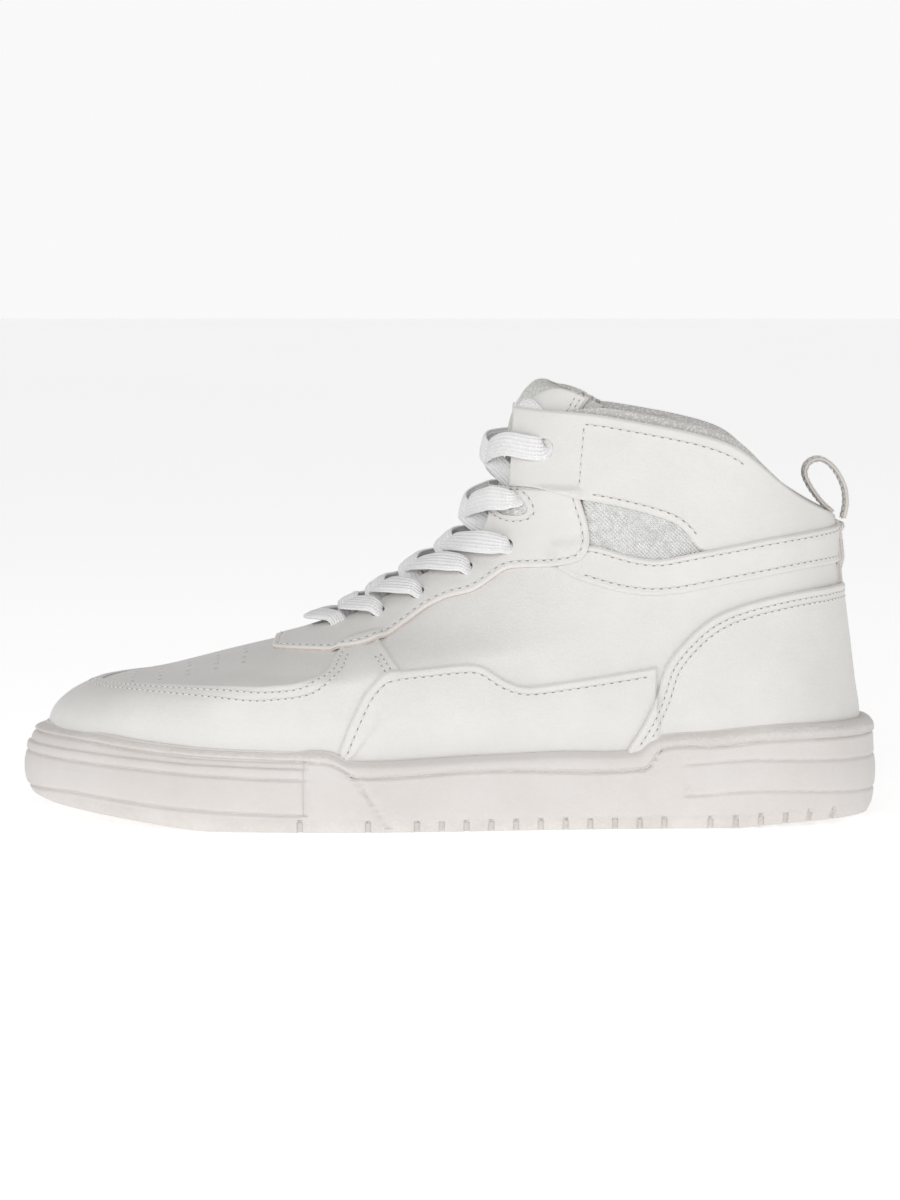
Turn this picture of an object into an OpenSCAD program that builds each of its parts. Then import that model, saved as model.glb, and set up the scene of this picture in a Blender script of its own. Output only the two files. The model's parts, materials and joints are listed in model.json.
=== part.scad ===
// Basketball high top sneaker, left foot, EU 43.
// Frame: +X from toe to heel, -Y is the outer (lateral) side, +Z up.
// The origin is on the ground, under the middle of the sole. Units are millimetres.

/* [Size] */
// Length of the cupsole
sole_l = 306; // [290:1:320]
// Width of the cupsole at the ball of the foot
sole_w = 112; // [106:1:118]
// Height of the tongue's top above the ground
top_h = 163; // [158:1:168]

/* [Leather and textile] */
// Thickness of the vamp and quarter leather
leather_t = 1.2; // [1:0.1:1.4]
// Thickness of each overlay
overlay_t = 1.2; // [1:0.1:1.3]
// Free gap between two layers
layer_gap = 0.3; // [0.2:0.05:0.35]
// Free gap under an overlay, where it bridges the curve of the layer below
overlay_gap = 0.7; // [0.5:0.1:0.8]
// Thickness of the textile lining
lining_t = 1; // [0.8:0.1:1]
// Depth of the collar padding round the ankle
collar_pad = 4.5; // [2:0.5:5]
// Thickness of the tongue's foam
tongue_foam_t = 4.6; // [3:0.2:6]

/* [Lacing] */
// Diameter of the lace holes
eyelet_d = 5.6; // [5.2:0.2:6]
// Width of the lace where it is gathered
lace_w = 4.4; // [3.6:0.2:4.6]
// Thickness of the lace
lace_t = 1.6; // [1:0.2:1.8]
// Diameter of the vamp's ventilation holes
vent_d = 1.3; // [1:0.1:2]

/* [Sole] */
// Thickness of the rubber floor
floor_t = 5; // [4:0.5:6]
// Depth of the tread grooves
groove_h = 2.6; // [1.5:0.1:3]
// Width of the tread grooves
groove_w = 2.2; // [1.5:0.1:3]
// Thickness of the removable sock liner
liner_t = 4; // [3:0.5:5]

/* [Pull loop] */
// Width of the pull loop and the heel strip
strip_w = 11; // [8:1:14]
// Thickness of the pull loop and the heel strip
strip_t = 1.3; // [1:0.1:1.5]

/* [Hidden] */

lateral = -1;
medial = 1;
sides = [lateral, medial];

// Scale of the tables below, which are drawn for the nominal shoe
kx = sole_l / 306;
ky = sole_w / 112;
kz = top_h / 163;

// ---- Tables of the last: [height, x] or [x, half width] or [x, height] ----
// Front of the upper, from the toe up the ridge of the vamp to the tongue
front_x = [[12, -143], [30, -143.5], [38, -142], [44, -136], [48, -128], [51, -118], [54, -103],
    [58, -87], [62, -70], [66, -54], [71, -40], [79, -25.5], [88, -12], [97, 1], [106, 7.5],
    [118, 11], [133, 14.5], [147, 18], [155, 22.5], [163, 29], [168, 34]];
// Back of the heel
back_x = [[12, 146], [37, 145.8], [50, 144], [63, 142.3], [80, 140.3], [97, 138.5],
    [106, 137.3], [125, 135], [168, 133]];
// Length over which the front rounds out to the full width
front_cap = [[12, 62], [50, 62], [55, 85], [63, 100], [73, 105], [88, 100], [103, 75],
    [118, 62], [168, 60]];
back_cap = 38;
// Half widths of the upper where it meets the sole
half_lateral = [[-150, 43], [-100, 47], [-70, 50], [-38, 51.5], [0, 47], [30, 43], [60, 40],
    [100, 38], [150, 37]];
half_medial = [[-150, 42], [-110, 46], [-65, 51.5], [-38, 49], [0, 39], [30, 34.5], [60, 35],
    [100, 37], [150, 37]];
// Share of that width at each height
width_share = [[12, 0.96], [30, 1], [42, 1.03], [65, 0.98], [95, 0.95], [125, 0.97], [168, 1]];

// Half widths of the sole
sole_lateral = [[-153, 46], [-100, 52], [-70, 54.8], [-38, 56], [0, 52], [30, 47.6],
    [60, 44.6], [100, 43], [153, 42]];
sole_medial = [[-153, 46], [-110, 51], [-65, 56], [-38, 53.8], [0, 44.4], [30, 39.6],
    [60, 39.8], [100, 42], [153, 42]];
sole_front_cap = 66;
sole_back_cap = 42;
// Height of the sole's lower edge: toe spring and heel bevel
sole_under = [[-153, 9.5], [-142, 7], [-126, 4.8], [-111, 3], [-97, 1.2], [-84, 0], [100, 0],
    [115, 1.2], [130, 2], [153, 2.4]];
// Height of the sole's lip, stepped between its toe, middle and heel stretches
lip_z = [[-153, 34], [-129, 33], [-111, 31], [-87, 29], [-60, 28], [-43, 28], [-35, 24.5],
    [11, 26], [39, 27], [66, 27.4], [72, 32], [90, 34], [114, 36], [153, 36]];
// How far the sidewall leans in at each share of its height
wall_lean = [[0, 2.4], [0.12, 0.7], [0.35, 0], [0.75, 0.4], [0.93, 1.1], [1, 2.2]];
// Height of the footbed on top of the midsole
bed_z = [[-146, 21], [-128, 17.5], [-110, 15], [-80, 13.5], [-40, 14.5], [0, 17], [60, 20],
    [100, 21], [150, 22]];
board_t = 2;

// ---- Smooth lookup in a table, and the last's surface ----
function clamp(v, low, high) = max(low, min(high, v));
function mix(a, b, t) = a + (b - a) * t;
function ease(a, b, v) = let (t = clamp((v - a) / (b - a), 0, 1)) t * t * (3 - 2 * t);
function rise(t, k) =
    let (a = max(0, k - 1), b = min(len(t) - 1, k + 1)) (t[b][1] - t[a][1]) / (t[b][0] - t[a][0]);
function smooth_at(t, value) =
    let (last = len(t) - 1, v = clamp(value, t[0][0], t[last][0]),
         below = len([for (p = t) if (p[0] <= v) 1]) - 1, i = clamp(below, 0, last - 1),
         h = t[i + 1][0] - t[i][0], u = (v - t[i][0]) / h)
    (2 * u^3 - 3 * u^2 + 1) * t[i][1] + (u^3 - 2 * u^2 + u) * h * rise(t, i)
    + (3 * u^2 - 2 * u^3) * t[i + 1][1] + (u^3 - u^2) * h * rise(t, i + 1);

function front_at(z) = smooth_at(front_x, z);
function back_at(z) = smooth_at(back_x, z);
function cap_at(z) = smooth_at(front_cap, z);
function width_at(x, z, side) =
    smooth_at(side < 0 ? half_lateral : half_medial, x) * smooth_at(width_share, z);

// A place on the upper is [m, z]. m is 0 on the ridge at the front and 3 at the back seam.
// m counts up round the medial side and down, through -3, round the lateral side.
function side_of(m) = (m > 3 ? m - 6 : m) < 0 ? lateral : medial;
function steps_of(m) = abs(m > 3 ? m - 6 : m);
function nominal(m, z) =
    let (q = steps_of(m), f = front_at(z), c = cap_at(z), b = back_at(z),
         x = q < 1 ? f + c * (1 - cos(90 * q))
           : q < 2 ? mix(f + c, b - back_cap, q - 1)
           : b - back_cap * (1 - cos(90 * (3 - q))),
         s = q < 1 ? sin(90 * q) : q < 2 ? 1 : sin(90 * (3 - q)))
    [x, side_of(m) * s * width_at(x, z, side_of(m)), z];
function place(m, z) = let (p = nominal(m, z)) [kx * p[0], ky * p[1], kz * p[2]];
function unit(v) = v / norm(v);
function outward(m, z) =
    unit(cross(place(m, z + 0.4) - place(m, z - 0.4), place(m + 0.01, z) - place(m - 0.01, z)));
// Share of the collar's padding at a place: none at the front and below the ankle
function padding(m, z) = collar_pad * ease(60, 95, z) * ease(0.7, 1.2, steps_of(m));
// A depth is [offset, share of the padding]; the offset is outward from the leather's face.
function lift(m, z, depth) =
    place(m, z) + (depth[0] - depth[1] * padding(m, z)) * outward(m, z);
// m of a side place from its x
function m_at(x, z, side) =
    let (f = front_at(z), c = cap_at(z), b = back_at(z),
         q = x < f + c ? acos(clamp(1 - (x - f) / c, -1, 1)) / 90
           : x < b - back_cap ? 1 + (x - f - c) / (b - back_cap - f - c)
           : 3 - acos(clamp(1 - (b - x) / back_cap, -1, 1)) / 90)
    side * q;

// ---- Depths of the layers ----
face_in = [-leather_t, 0];
face_out = [0, 0];
over_in = [overlay_gap, 0];
over_out = [overlay_gap + overlay_t, 0];
top_in = [2 * overlay_gap + overlay_t, 0];
top_out = [2 * (overlay_gap + overlay_t), 0];
core_out = [-leather_t - layer_gap, 0];
core_in = [-leather_t - layer_gap - 1.1, 0];
foam_in = [-leather_t - layer_gap - 1.1, 0.85];
lining_out = [-leather_t - 2 * layer_gap - 1.1, 1];
lining_in = [-leather_t - 2 * layer_gap - 1.1 - lining_t, 1];

// ---- Solids from a grid of places ----
// rows is a list of rows of [m, z]; the solid fills from depth inner to depth outer.
module shell(rows, inner, outer) {
    nr = len(rows) - 1;
    nc = len(rows[0]) - 1;
    grid_solid([for (r = rows) [for (p = r) lift(p[0], p[1], outer)]],
        [for (r = rows) [for (p = r) lift(p[0], p[1], inner)]], nr, nc);
}
module grid_solid(top, under, nr, nc) {
    count = (nr + 1) * (nc + 1);
    n = cross(top[1][0] - top[0][0], top[0][1] - top[0][0]);
    turned = n * (top[0][0] - under[0][0]) > 0;
    quads = concat(
        [for (i = [0:nr - 1], j = [0:nc - 1]) [at(i, j, nc), at(i, j + 1, nc),
            at(i + 1, j + 1, nc), at(i + 1, j, nc)]],
        [for (i = [0:nr - 1], j = [0:nc - 1]) [count + at(i, j, nc), count + at(i + 1, j, nc),
            count + at(i + 1, j + 1, nc), count + at(i, j + 1, nc)]],
        [for (i = [0:nr - 1]) [at(i, 0, nc), at(i + 1, 0, nc),
            count + at(i + 1, 0, nc), count + at(i, 0, nc)]],
        [for (i = [0:nr - 1]) [at(i + 1, nc, nc), at(i, nc, nc),
            count + at(i, nc, nc), count + at(i + 1, nc, nc)]],
        [for (j = [0:nc - 1]) [at(0, j + 1, nc), at(0, j, nc),
            count + at(0, j, nc), count + at(0, j + 1, nc)]],
        [for (j = [0:nc - 1]) [at(nr, j, nc), at(nr, j + 1, nc),
            count + at(nr, j + 1, nc), count + at(nr, j, nc)]]);
    polyhedron(concat([for (r = top, p = r) p], [for (r = under, p = r) p]),
        [for (q = quads, t = [[0, 1, 2], [0, 2, 3]])
            turned ? [q[t[0]], q[t[1]], q[t[2]]] : [q[t[2]], q[t[1]], q[t[0]]]]);
}
function at(i, j, nc) = i * (nc + 1) + j;

// Rows between pairs of places [[m, z], [m, z]], each with n steps across
function across(pairs, n) =
    [for (p = pairs) [for (j = [0:n]) [mix(p[0][0], p[1][0], j / n), mix(p[0][1], p[1][1], j / n)]]];
// The same on one side, from [lower x, lower z, upper x, upper z]; these rows are straight in
// the side view
function side_rows(list, side, n) =
    [for (c = list) [for (j = [0:n]) let (z = mix(c[1], c[3], j / n))
        [m_at(mix(c[0], c[2], j / n), z, side), z]]];
// A panel that runs round the heel: the medial rows, then the back, then the lateral rows
function round_heel(list, n, n_back, z_low, z_high) =
    let (last = len(list) - 1, low = m_at(list[last][0], list[last][1], medial))
    concat(side_rows(list, medial, n),
        across([for (k = [1:n_back - 1]) let (m = mix(low, 6 - low, k / n_back))
            [[m, z_low(m)], [m, z_high(m)]]], n),
        [for (r = reverse(side_rows(list, lateral, n))) [for (p = r) [6 + p[0], p[1]]]]);
function reverse(list) = [for (i = [len(list) - 1:-1:0]) list[i]];
// A panel that runs round the front: half its rows, from the ridge to one side, and their mirror
function both_sides(half) =
    concat([for (r = reverse(half)) [for (p = r) [-p[0], p[1]]]],
        [for (i = [1:len(half) - 1]) half[i]]);

// ---- The lacing's places: [height, m] ----
eyelet_z = [69.5, 74, 81, 90, 98.5, 115.5];
eyelet_m = [[69, 0.15], [74, 0.265], [81, 0.3], [90, 0.36], [98, 0.43], [118, 0.43]];
module eyelet_bores(which = sides, d = eyelet_d) {
    for (s = which, z = eyelet_z) {
        m = s * smooth_at(eyelet_m, z);
        n = outward(m, z);
        translate(place(m, z) - 6 * n)
            rotate([0, acos(n[2]), atan2(n[1], n[0])])
                cylinder(d = d, h = 12, $fn = 32);
    }
}

// ---- Sole ----
sole_steps = 30;
function sole_point(k, inset, z) =
    let (m = k * 3 / sole_steps, q = m > 3 ? 6 - m : m, side = m > 3 ? lateral : medial,
         x = q < 1 ? -153 + sole_front_cap * (1 - cos(90 * q))
           : q < 2 ? mix(-153 + sole_front_cap, 153 - sole_back_cap, q - 1)
           : 153 - sole_back_cap * (1 - cos(90 * (3 - q))),
         c = q < 1 ? cos(90 * q) : q < 2 ? 0 : -cos(90 * (3 - q)),
         s = q < 1 ? sin(90 * q) : q < 2 ? 1 : sin(90 * (3 - q)),
         half = smooth_at(side < 0 ? sole_lateral : sole_medial, x),
         lean = inset * (1 + 1.9 * ease(-118, -146, x) * (z > 20 ? 1 : 0)))
    [kx * (x + lean * c), ky * side * s * (half - lean), kz * z];
function sole_x(k) = sole_point(k, 0, 0)[0] / kx;
// Place on the upper beside station k of the sole, at height z and a depth from the leather
function upper_point(k, z, depth) =
    let (m = k * 3 / sole_steps) lift(m, z, [depth, 0]);
// The lip stands clear of the overlays that run down behind it
function rebate(x) = mix(over_out[0], top_out[0], ease(58, 66, x)) + layer_gap;
rebate_depth = 4.2;

// Solid from closed loops: each station has the same number of points, the first and last
// loops are closed off by strips across the sole.
module ring_solid(stations) {
    n = len(stations);
    half = n / 2;
    p = len(stations[0]);
    walls = [for (k = [0:n - 1], i = [0:p - 2]) let (a = k * p + i, b = ((k + 1) % n) * p + i)
        [a, b, b + 1, a + 1]];
    first = [for (k = [0:half - 1]) [k * p, ((n - k) % n) * p, (n - k - 1) * p, (k + 1) * p]];
    faces = concat(
        [for (q = walls, t = [[0, 1, 2], [0, 2, 3]]) [q[t[2]], q[t[1]], q[t[0]]]],
        [for (q = first, t = [[0, 1, 2], [0, 2, 3]]) if (q[t[0]] != q[t[1]] && q[t[1]] != q[t[2]]
            && q[t[0]] != q[t[2]]) [q[t[2]], q[t[1]], q[t[0]]]],
        [for (q = first, t = [[0, 1, 2], [0, 2, 3]]) if (q[t[0]] != q[t[1]] && q[t[1]] != q[t[2]]
            && q[t[0]] != q[t[2]]) [q[t[0]] + p - 1, q[t[1]] + p - 1, q[t[2]] + p - 1]]);
    polyhedron([for (s = stations, v = s) v], faces);
}

module outsole() {
    color([0.88, 0.86, 0.85])
    difference() {
        ring_solid([for (k = [0:2 * sole_steps - 1]) let (x = sole_x(k), low = smooth_at(sole_under, x),
            high = smooth_at(lip_z, x)) concat(
                [for (w = wall_lean) sole_point(k, w[1], mix(low, high, w[0]))],
                [upper_point(k, high, rebate(x)), upper_point(k, high - rebate_depth, rebate(x)),
                 upper_point(k, high - rebate_depth - 1, layer_gap),
                 upper_point(k, max(low + floor_t, 8), layer_gap)])]);
        for (g = [0:groove_count - 1])
            translate([kx * (groove_first + g * groove_pitch) - groove_w / 2, -sole_w, -1])
                cube([groove_w, 2 * sole_w, 1 + groove_h]);
        for (y = [-18, 18])
            translate([-78 * kx, y - 2, -1]) cube([176 * kx, 4, 2.2]);
    }
}
groove_first = -78;
groove_pitch = 9.1;
groove_count = 20;

module slab(inset, low, high) {
    ring_solid([for (k = [0:2 * sole_steps - 1]) let (x = sole_x(k))
        [upper_point(k, low(x), -inset), upper_point(k, high(x), -inset)]]);
}
floor_z = function(x) max(smooth_at(sole_under, x) + floor_t, 8);
midsole_top = function(x) smooth_at(bed_z, x);
board_top = function(x) smooth_at(bed_z, x) + board_t;
liner_low = function(x) smooth_at(bed_z, x) + board_t + layer_gap;
liner_top = function(x) smooth_at(bed_z, x) + board_t + layer_gap + liner_t;

module midsole() {
    color([0.93, 0.92, 0.9]) slab(0.2, floor_z, midsole_top);
}
module insole_board() {
    color([0.8, 0.76, 0.68]) slab(lining_margin, midsole_top, board_top);
}
lining_margin = 4.3;
liner_margin = 5.4;
module sock_liner() {
    color([0.72, 0.69, 0.67]) slab(liner_margin, liner_low, liner_top);
}

// ---- Lower edges of the panels, inside the sole's lip ----
function tuck_z(x) = smooth_at(lip_z, x) - 1.6;
function last_z(x) = smooth_at(bed_z, x) + 3 * layer_gap;
function last_z_m(m) = last_z(sole_x(abs(m) * sole_steps / 3));
function tuck_z_m(m) = tuck_z(nominal(m, 30)[0]);

// ---- Toe ----
// Rows round the toe at a height, back to the vamp's rear edge on both sides
vamp_rear_x = -34;
function toe_rows(heights, x_rear, n) =
    [for (z = heights) let (q = m_at(x_rear, z, medial)) [for (j = [0:n])
        let (m = mix(-q, q, j / n)) [m, z < 20 ? max(z, last_z_m(m)) : z]]];
vamp_heights = [19.5, 26, 32, 37, 41, 44.5, 47.5, 50, 52, 54, 56, 58.4, 60.8, 63, 65.2, 67.4];
module vamp() {
    color([0.86, 0.86, 0.84])
    difference() {
        shell(toe_rows(vamp_heights, vamp_rear_x, 26), face_in, face_out);
        vents();
    }
}
// Ventilation holes: rows across the vamp, one hole more towards the sides
module vents() {
    for (i = [0:vent_rows - 1], y = [-vent_side:vent_pitch:vent_side]) {
        x = vent_first + i * vent_row_pitch;
        z = ridge_z(x, y);
        translate([kx * x, ky * y, kz * z - 4]) cylinder(d = vent_d, h = 8, $fn = 16);
    }
}
vent_rows = 5;
vent_first = -113;
vent_row_pitch = 10;
vent_pitch = 6;
vent_side = 27;
// Height of the last at x and y, found by halving
function ridge_z(x, y, low = 40, high = 70, n = 12) =
    n == 0 ? low : let (z = (low + high) / 2)
        (x > front_at(z) && abs(nominal(m_at(x, z, medial), z)[1]) > abs(y))
            ? ridge_z(x, y, z, high, n - 1) : ridge_z(x, y, low, z, n - 1);

module vamp_lining() {
    color([0.83, 0.82, 0.8])
        shell(toe_rows(vamp_heights, vamp_rear_x, 18), lining_in, lining_out);
}
module toe_puff() {
    color([0.9, 0.88, 0.8])
        shell(toe_rows([22, 27, 32, 37, 41.5, 45, 48, 50.3], -92, 18), core_in, core_out);
}
// The guard is a band from the lip to the vamp window; its wings end behind the window.
guard_round = [for (q = [0:0.125:0.875])
    [[q, tuck_z_m(q)], [q, smooth_at([[0, 49], [0.5, 50], [1, 51.2]], q)]]];
guard_wing = [[-82, 27.6, -60.5, 51.5], [-72, 27.4, -55, 52], [-62, 26.6, -50, 53],
    [-51, 26.4, -45.5, 54.6], [-41.5, 26, -42, 57], [-39.2, 31, -41, 60], [-36.4, 38, -40, 62.6],
    [-33.4, 44.4, -36, 64.4], [-30, 50, -32, 65.7], [-25, 55.4, -28.6, 66.5],
    [-19.6, 57, -25.6, 67.2]];
guard_n = 9;
module toe_guard() {
    color([0.87, 0.87, 0.86])
        shell(both_sides(concat(across(guard_round, guard_n), side_rows(guard_wing, medial, guard_n))),
            over_in, over_out);
}

// ---- Sides ----
// From [lower x, upper x, upper z]; the lower edge is tucked inside the sole
quarter_edge = [[-33.4, -33.4, 73], [-26, -27, 76.2], [-18, -18.5, 81], [-10, -10, 86.5],
    [-2, -2, 91], [6, 5, 95.2], [13, 10, 100], [20, 13.6, 106], [27, 15.4, 112],
    [33, 17.5, 119.4], [38, 26, 119.4], [43, 35, 119.4], [47, 44, 119.4], [49.4, 47, 109],
    [51.4, 49.5, 99], [54, 52, 89],
    [62, 62, 88.8], [72, 72, 88.8], [82, 82, 88.8], [92, 90, 89], [102, 100, 90.6],
    [110, 107, 91.8], [117, 114, 93], [123, 120, 94], [128, 125, 95], [133, 129, 95.6],
    [137, 132.6, 96], [140.4, 135.6, 96.4], [143, 137.6, 96.6]];
module quarter(side) {
    color([0.88, 0.88, 0.87])
    difference() {
        shell(side_rows([for (c = quarter_edge) [c[0], last_z(c[0]), c[1], c[2]]], side, 12),
            face_in, face_out);
        eyelet_bores([side]);
    }
}
module quarter_lateral() { quarter(lateral); }
module quarter_medial() { quarter(medial); }

overlay_edge = [[-39, 28.5], [-35.4, 38], [-30, 49], [-24, 55.4], [-17, 56.5], [-8, 57.3], [0, 58.2],
    [8.6, 58.8], [13, 57.4], [18, 53.4], [25, 50.4], [32, 50.8], [42, 52.2], [52, 53.6],
    [62, 55.2], [73, 57]];
module side_overlay(side) {
    color([0.88, 0.88, 0.87])
        shell(side_rows([for (i = [0:len(overlay_edge) - 1])
            let (c = overlay_edge[i], x = mix(-36, 73, pow(i / (len(overlay_edge) - 1), 0.9)))
            [x, tuck_z(x), c[0], c[1]]], side, 6), over_in, over_out);
}
module side_overlay_lateral() { side_overlay(lateral); }
module side_overlay_medial() { side_overlay(medial); }

// ---- Ankle ----
band_low = [[38, 91.5], [44, 88], [52, 85.5], [60, 83.4], [68, 82.2], [78, 82.4], [90, 84.6],
    [108, 88], [126, 91], [141, 92]];
band_high = [[38, 99], [50, 100], [60, 97], [67, 95.2], [74, 94.6], [85, 97], [96, 99],
    [111, 102], [126, 104], [141, 105.5]];
band_x = [38, 45, 52, 59, 66, 73, 80, 87, 94, 101, 108, 114, 120, 126, 131, 135, 138];
module ankle_band(side) {
    color([0.87, 0.87, 0.86])
        shell(side_rows([for (x = band_x)
            [x, smooth_at(band_low, x), x, smooth_at(band_high, x)]], side, 3), over_in, over_out);
}
module ankle_band_lateral() { ankle_band(lateral); }
module ankle_band_medial() { ankle_band(medial); }

mesh_x = [54.5, 61, 68, 75, 82, 89];
module ankle_mesh(side) {
    color([0.82, 0.82, 0.82])
        shell(side_rows([for (x = mesh_x) [x, 89.3, mix(46.6, 89, (x - 54.5) / 34.5),
            smooth_at([[46, 119.4], [60, 118], [89, 108]], x)]], side, 5), face_in, face_out);
}
module ankle_mesh_lateral() { ankle_mesh(lateral); }
module ankle_mesh_medial() { ankle_mesh(medial); }

// Top of the collar, and the lower edge of the collar panel with its strap
collar_high = [[23, 148], [34, 147], [50, 146], [63, 144], [88, 139], [100, 135], [106, 131],
    [115, 123], [124, 116], [138, 108.5]];
panel_low = [[21, 120], [31, 119.8], [46, 116], [58, 114], [72, 110.4], [80, 107.4], [84, 103.5],
    [88, 98.2], [96, 99.6], [111, 102.6], [126, 104.6], [138, 106]];
panel_x = [21.4, 25, 30, 36, 42, 48, 54, 61, 68, 75, 80, 84, 88, 94, 100, 106, 112, 118, 124,
    129, 133, 136];
strap_slot_x = [27.5, 35];
strap_slot_z = 133.5;
strap_slot_h = 7;
module collar_panel(side) {
    color([0.89, 0.89, 0.88])
    difference() {
        shell(side_rows([for (x = panel_x) [x, smooth_at(panel_low, x),
            max(x, 23.2), smooth_at(collar_high, x)]], side, 5), over_in, over_out);
        slot_hole(side);
    }
}
// Slot for the lace: two round ends joined by a straight middle
module slot_hole(side) {
    m = m_at(31, strap_slot_z, side);
    n = outward(m, strap_slot_z);
    c = place(m, strap_slot_z);
    along = (strap_slot_x[1] - strap_slot_x[0]) / 2;
    translate(c) rotate([0, 0, atan2(n[1], n[0])]) rotate([0, 90, 0])
        translate([0, 0, -5]) {
            for (y = [-along, along]) translate([0, y, 0])
                cylinder(d = strap_slot_h, h = 10, $fn = 32);
            translate([-strap_slot_h / 2, -along, 0]) cube([strap_slot_h, 2 * along, 10]);
        }
}
module collar_panel_lateral() { collar_panel(lateral); }
module collar_panel_medial() { collar_panel(medial); }

// ---- Heel ----
heel_edge = [[62.5, 27, 62.6, 28.4], [66, 27, 68.6, 38], [70, 30.4, 72.6, 46], [74, 31, 75.6, 57],
    [79, 31.6, 80.4, 63.4], [85, 32.4, 86.4, 69.6], [91, 33, 92, 74], [98, 33.6, 98.6, 77.2],
    [106, 34, 106, 79.6], [114, 34.4, 113.6, 81.4], [121, 34.4, 120, 82.6], [127, 34.4, 126, 83.4],
    [132.6, 34.4, 131, 83.8], [137, 34.4, 135, 84]];
module heel_overlay() {
    color([0.87, 0.86, 0.85])
        shell(round_heel(heel_edge, 7, 8, function(m) 34.4, function(m) 84.2), top_in, top_out);
}
counter_edge = [for (x = [84, 91, 98, 105, 112, 118, 124, 129, 133, 136.5]) [x, 25, x, mix(48, 60,
    ease(84, 110, x))]];
module heel_counter() {
    color([0.75, 0.73, 0.7])
        shell(round_heel(counter_edge, 6, 8, function(m) 25, function(m) 60), core_in, core_out);
}

// ---- Facing ----
// From the throat edge [m, z] to the outer edge [x, z]
eyestay_rows = [[0.06, 68, -62.6, 63], [0.1, 69.2, -63.2, 61.6], [0.125, 70.6, -57, 61.8],
    [0.145, 72.6, -48, 62], [0.155, 75.4, -39, 62.2], [0.16, 78.4, -31, 63.2], [0.165, 81.6, -24, 66],
    [0.18, 85.6, -17, 70.6], [0.2, 90, -9, 76.4], [0.22, 94, -1, 80.4], [0.25, 98, 8, 82.4],
    [0.26, 101.4, 14, 86.4], [0.26, 104.4, 20, 91], [0.26, 107, 29, 91.6], [0.26, 109.6, 38, 92],
    [0.26, 112, 46, 93.6], [0.26, 114.4, 49.6, 99], [0.26, 116.6, 48.8, 107],
    [0.26, 119.4, 45, 119.4]];
eyestay_half = concat([[[0, 67.6], [0, 64]]],
    [for (r = eyestay_rows) [[r[0], r[1]], [m_at(r[2], r[3], medial), r[3]]]]);
module eyestay() {
    color([0.89, 0.89, 0.88])
    difference() {
        shell(both_sides(across(eyestay_half, 6)), top_in, top_out);
        eyelet_bores();
        for (s = sides) facing_window(s);
    }
}
// Small mesh window near the top of the facing
window_at = [23, 112.4];
window_r = 3.4;
module facing_window(side) {
    m = m_at(window_at[0] + 3, window_at[1] - 1, side);
    n = outward(m, window_at[1]);
    translate(place(m, window_at[1] - 3)) rotate([0, acos(n[2]), atan2(n[1], n[0])])
        translate([0, 0, -1]) cylinder(r = window_r, h = 8, $fn = 32);
}

// ---- Collar padding and lining ----
foam_edge = [for (x = [52, 60, 68, 76, 84, 92, 100, 107, 114, 120, 126, 130.5]) [x, 94, x,
    smooth_at(collar_high, x) - 2]];
module collar_foam() {
    color([0.86, 0.84, 0.75])
        shell(round_heel(foam_edge, 4, 6, function(m) 94, function(m) 106), foam_in, core_out);
}
lining_back = 6;
lining_edge = concat(
    [for (c = quarter_edge) if (c[0] < 33) [c[0], last_z(c[0]), c[1] + lining_back, c[2]]],
    [for (c = [[36, 22, 121], [40, 22.6, 130], [44, 23.4, 140], [48, 25.6, 147]])
        [c[0], last_z(c[0]), c[1], c[2]]],
    [for (x = [56, 64, 72, 80, 88, 96, 104, 111, 118, 124, 129, 132]) [x + (x < 80 ? (x - 80) / 8 : 0),
        last_z(x), x < 72 ? mix(34, 72, (x - 56) / 16) : x, smooth_at(collar_high, x) - 1]]);
module collar_lining() {
    color([0.72, 0.68, 0.66])
    difference() {
        shell(round_heel(lining_edge, 9, 7, function(m) last_z_m(m), function(m) 107),
            lining_in, lining_out);
        eyelet_bores(d = 2.4 * eyelet_d);
    }
}

// ---- Tongue ----
tongue_gap = 2.6;
tongue_face_t = 1;
// Half width of the tongue in m at each height
tongue_m = [[68, 0.2], [74, 0.34], [84, 0.46], [100, 0.56], [120, 0.6], [163, 0.6]];
tongue_heights = [68.6, 72, 77, 83, 89, 95, 101, 107, 113, 120, 128, 136, 143, 150, 157, 163];
// The top corners drop towards the sides
function tongue_z(z, j) = z - 9 * ease(120, 163, z) * j * j;
function tongue_rows(n, low = 0, share = 1) =
    [for (z = tongue_heights) if (z >= low) [for (j = [-n:n]) let (t = j / n)
        [share * t * smooth_at(tongue_m, z), tongue_z(z, t)]]];
tongue_out = [lining_in[0] - tongue_gap, 0];
tongue_mid = [tongue_out[0] - tongue_face_t, 0];
foam_top = [tongue_mid[0] - 0.25, 0];
foam_low = [foam_top[0] - tongue_foam_t, 0];
module tongue_face() {
    color([0.7, 0.7, 0.68]) shell(tongue_rows(7), tongue_mid, tongue_out);
}
module tongue_foam() {
    color([0.86, 0.84, 0.75]) shell(tongue_rows(6, 80, 0.94), foam_low, foam_top);
}
module tongue_lining() {
    color([0.74, 0.72, 0.7])
        shell(tongue_rows(6), [foam_low[0] - 1.25, 0], [foam_low[0] - 0.25, 0]);
}
// Leather tabs on both sides of the tongue's top
module tongue_patch() {
    color([0.9, 0.9, 0.89]) for (s = sides)
        shell([for (i = [0:4]) let (z = mix(141, 154, i / 4)) [for (j = [0:4])
            let (m = mix(0.3 + 0.06 * pow(i / 4, 3), 0.56, j / 4))
            [s * m, z - 2.4 * pow(j / 4, 2)]]],
            [tongue_out[0] + 0.1, 0], [tongue_out[0] + 1.1, 0]);
}
module tongue_label() {
    color([0.8, 0.8, 0.8])
        shell([for (z = [115, 119, 123]) [for (m = [-0.2:0.1:0.2]) [m, z]]],
            [tongue_out[0] + 0.2, 0], [tongue_out[0] + 0.6, 0]);
}

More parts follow.
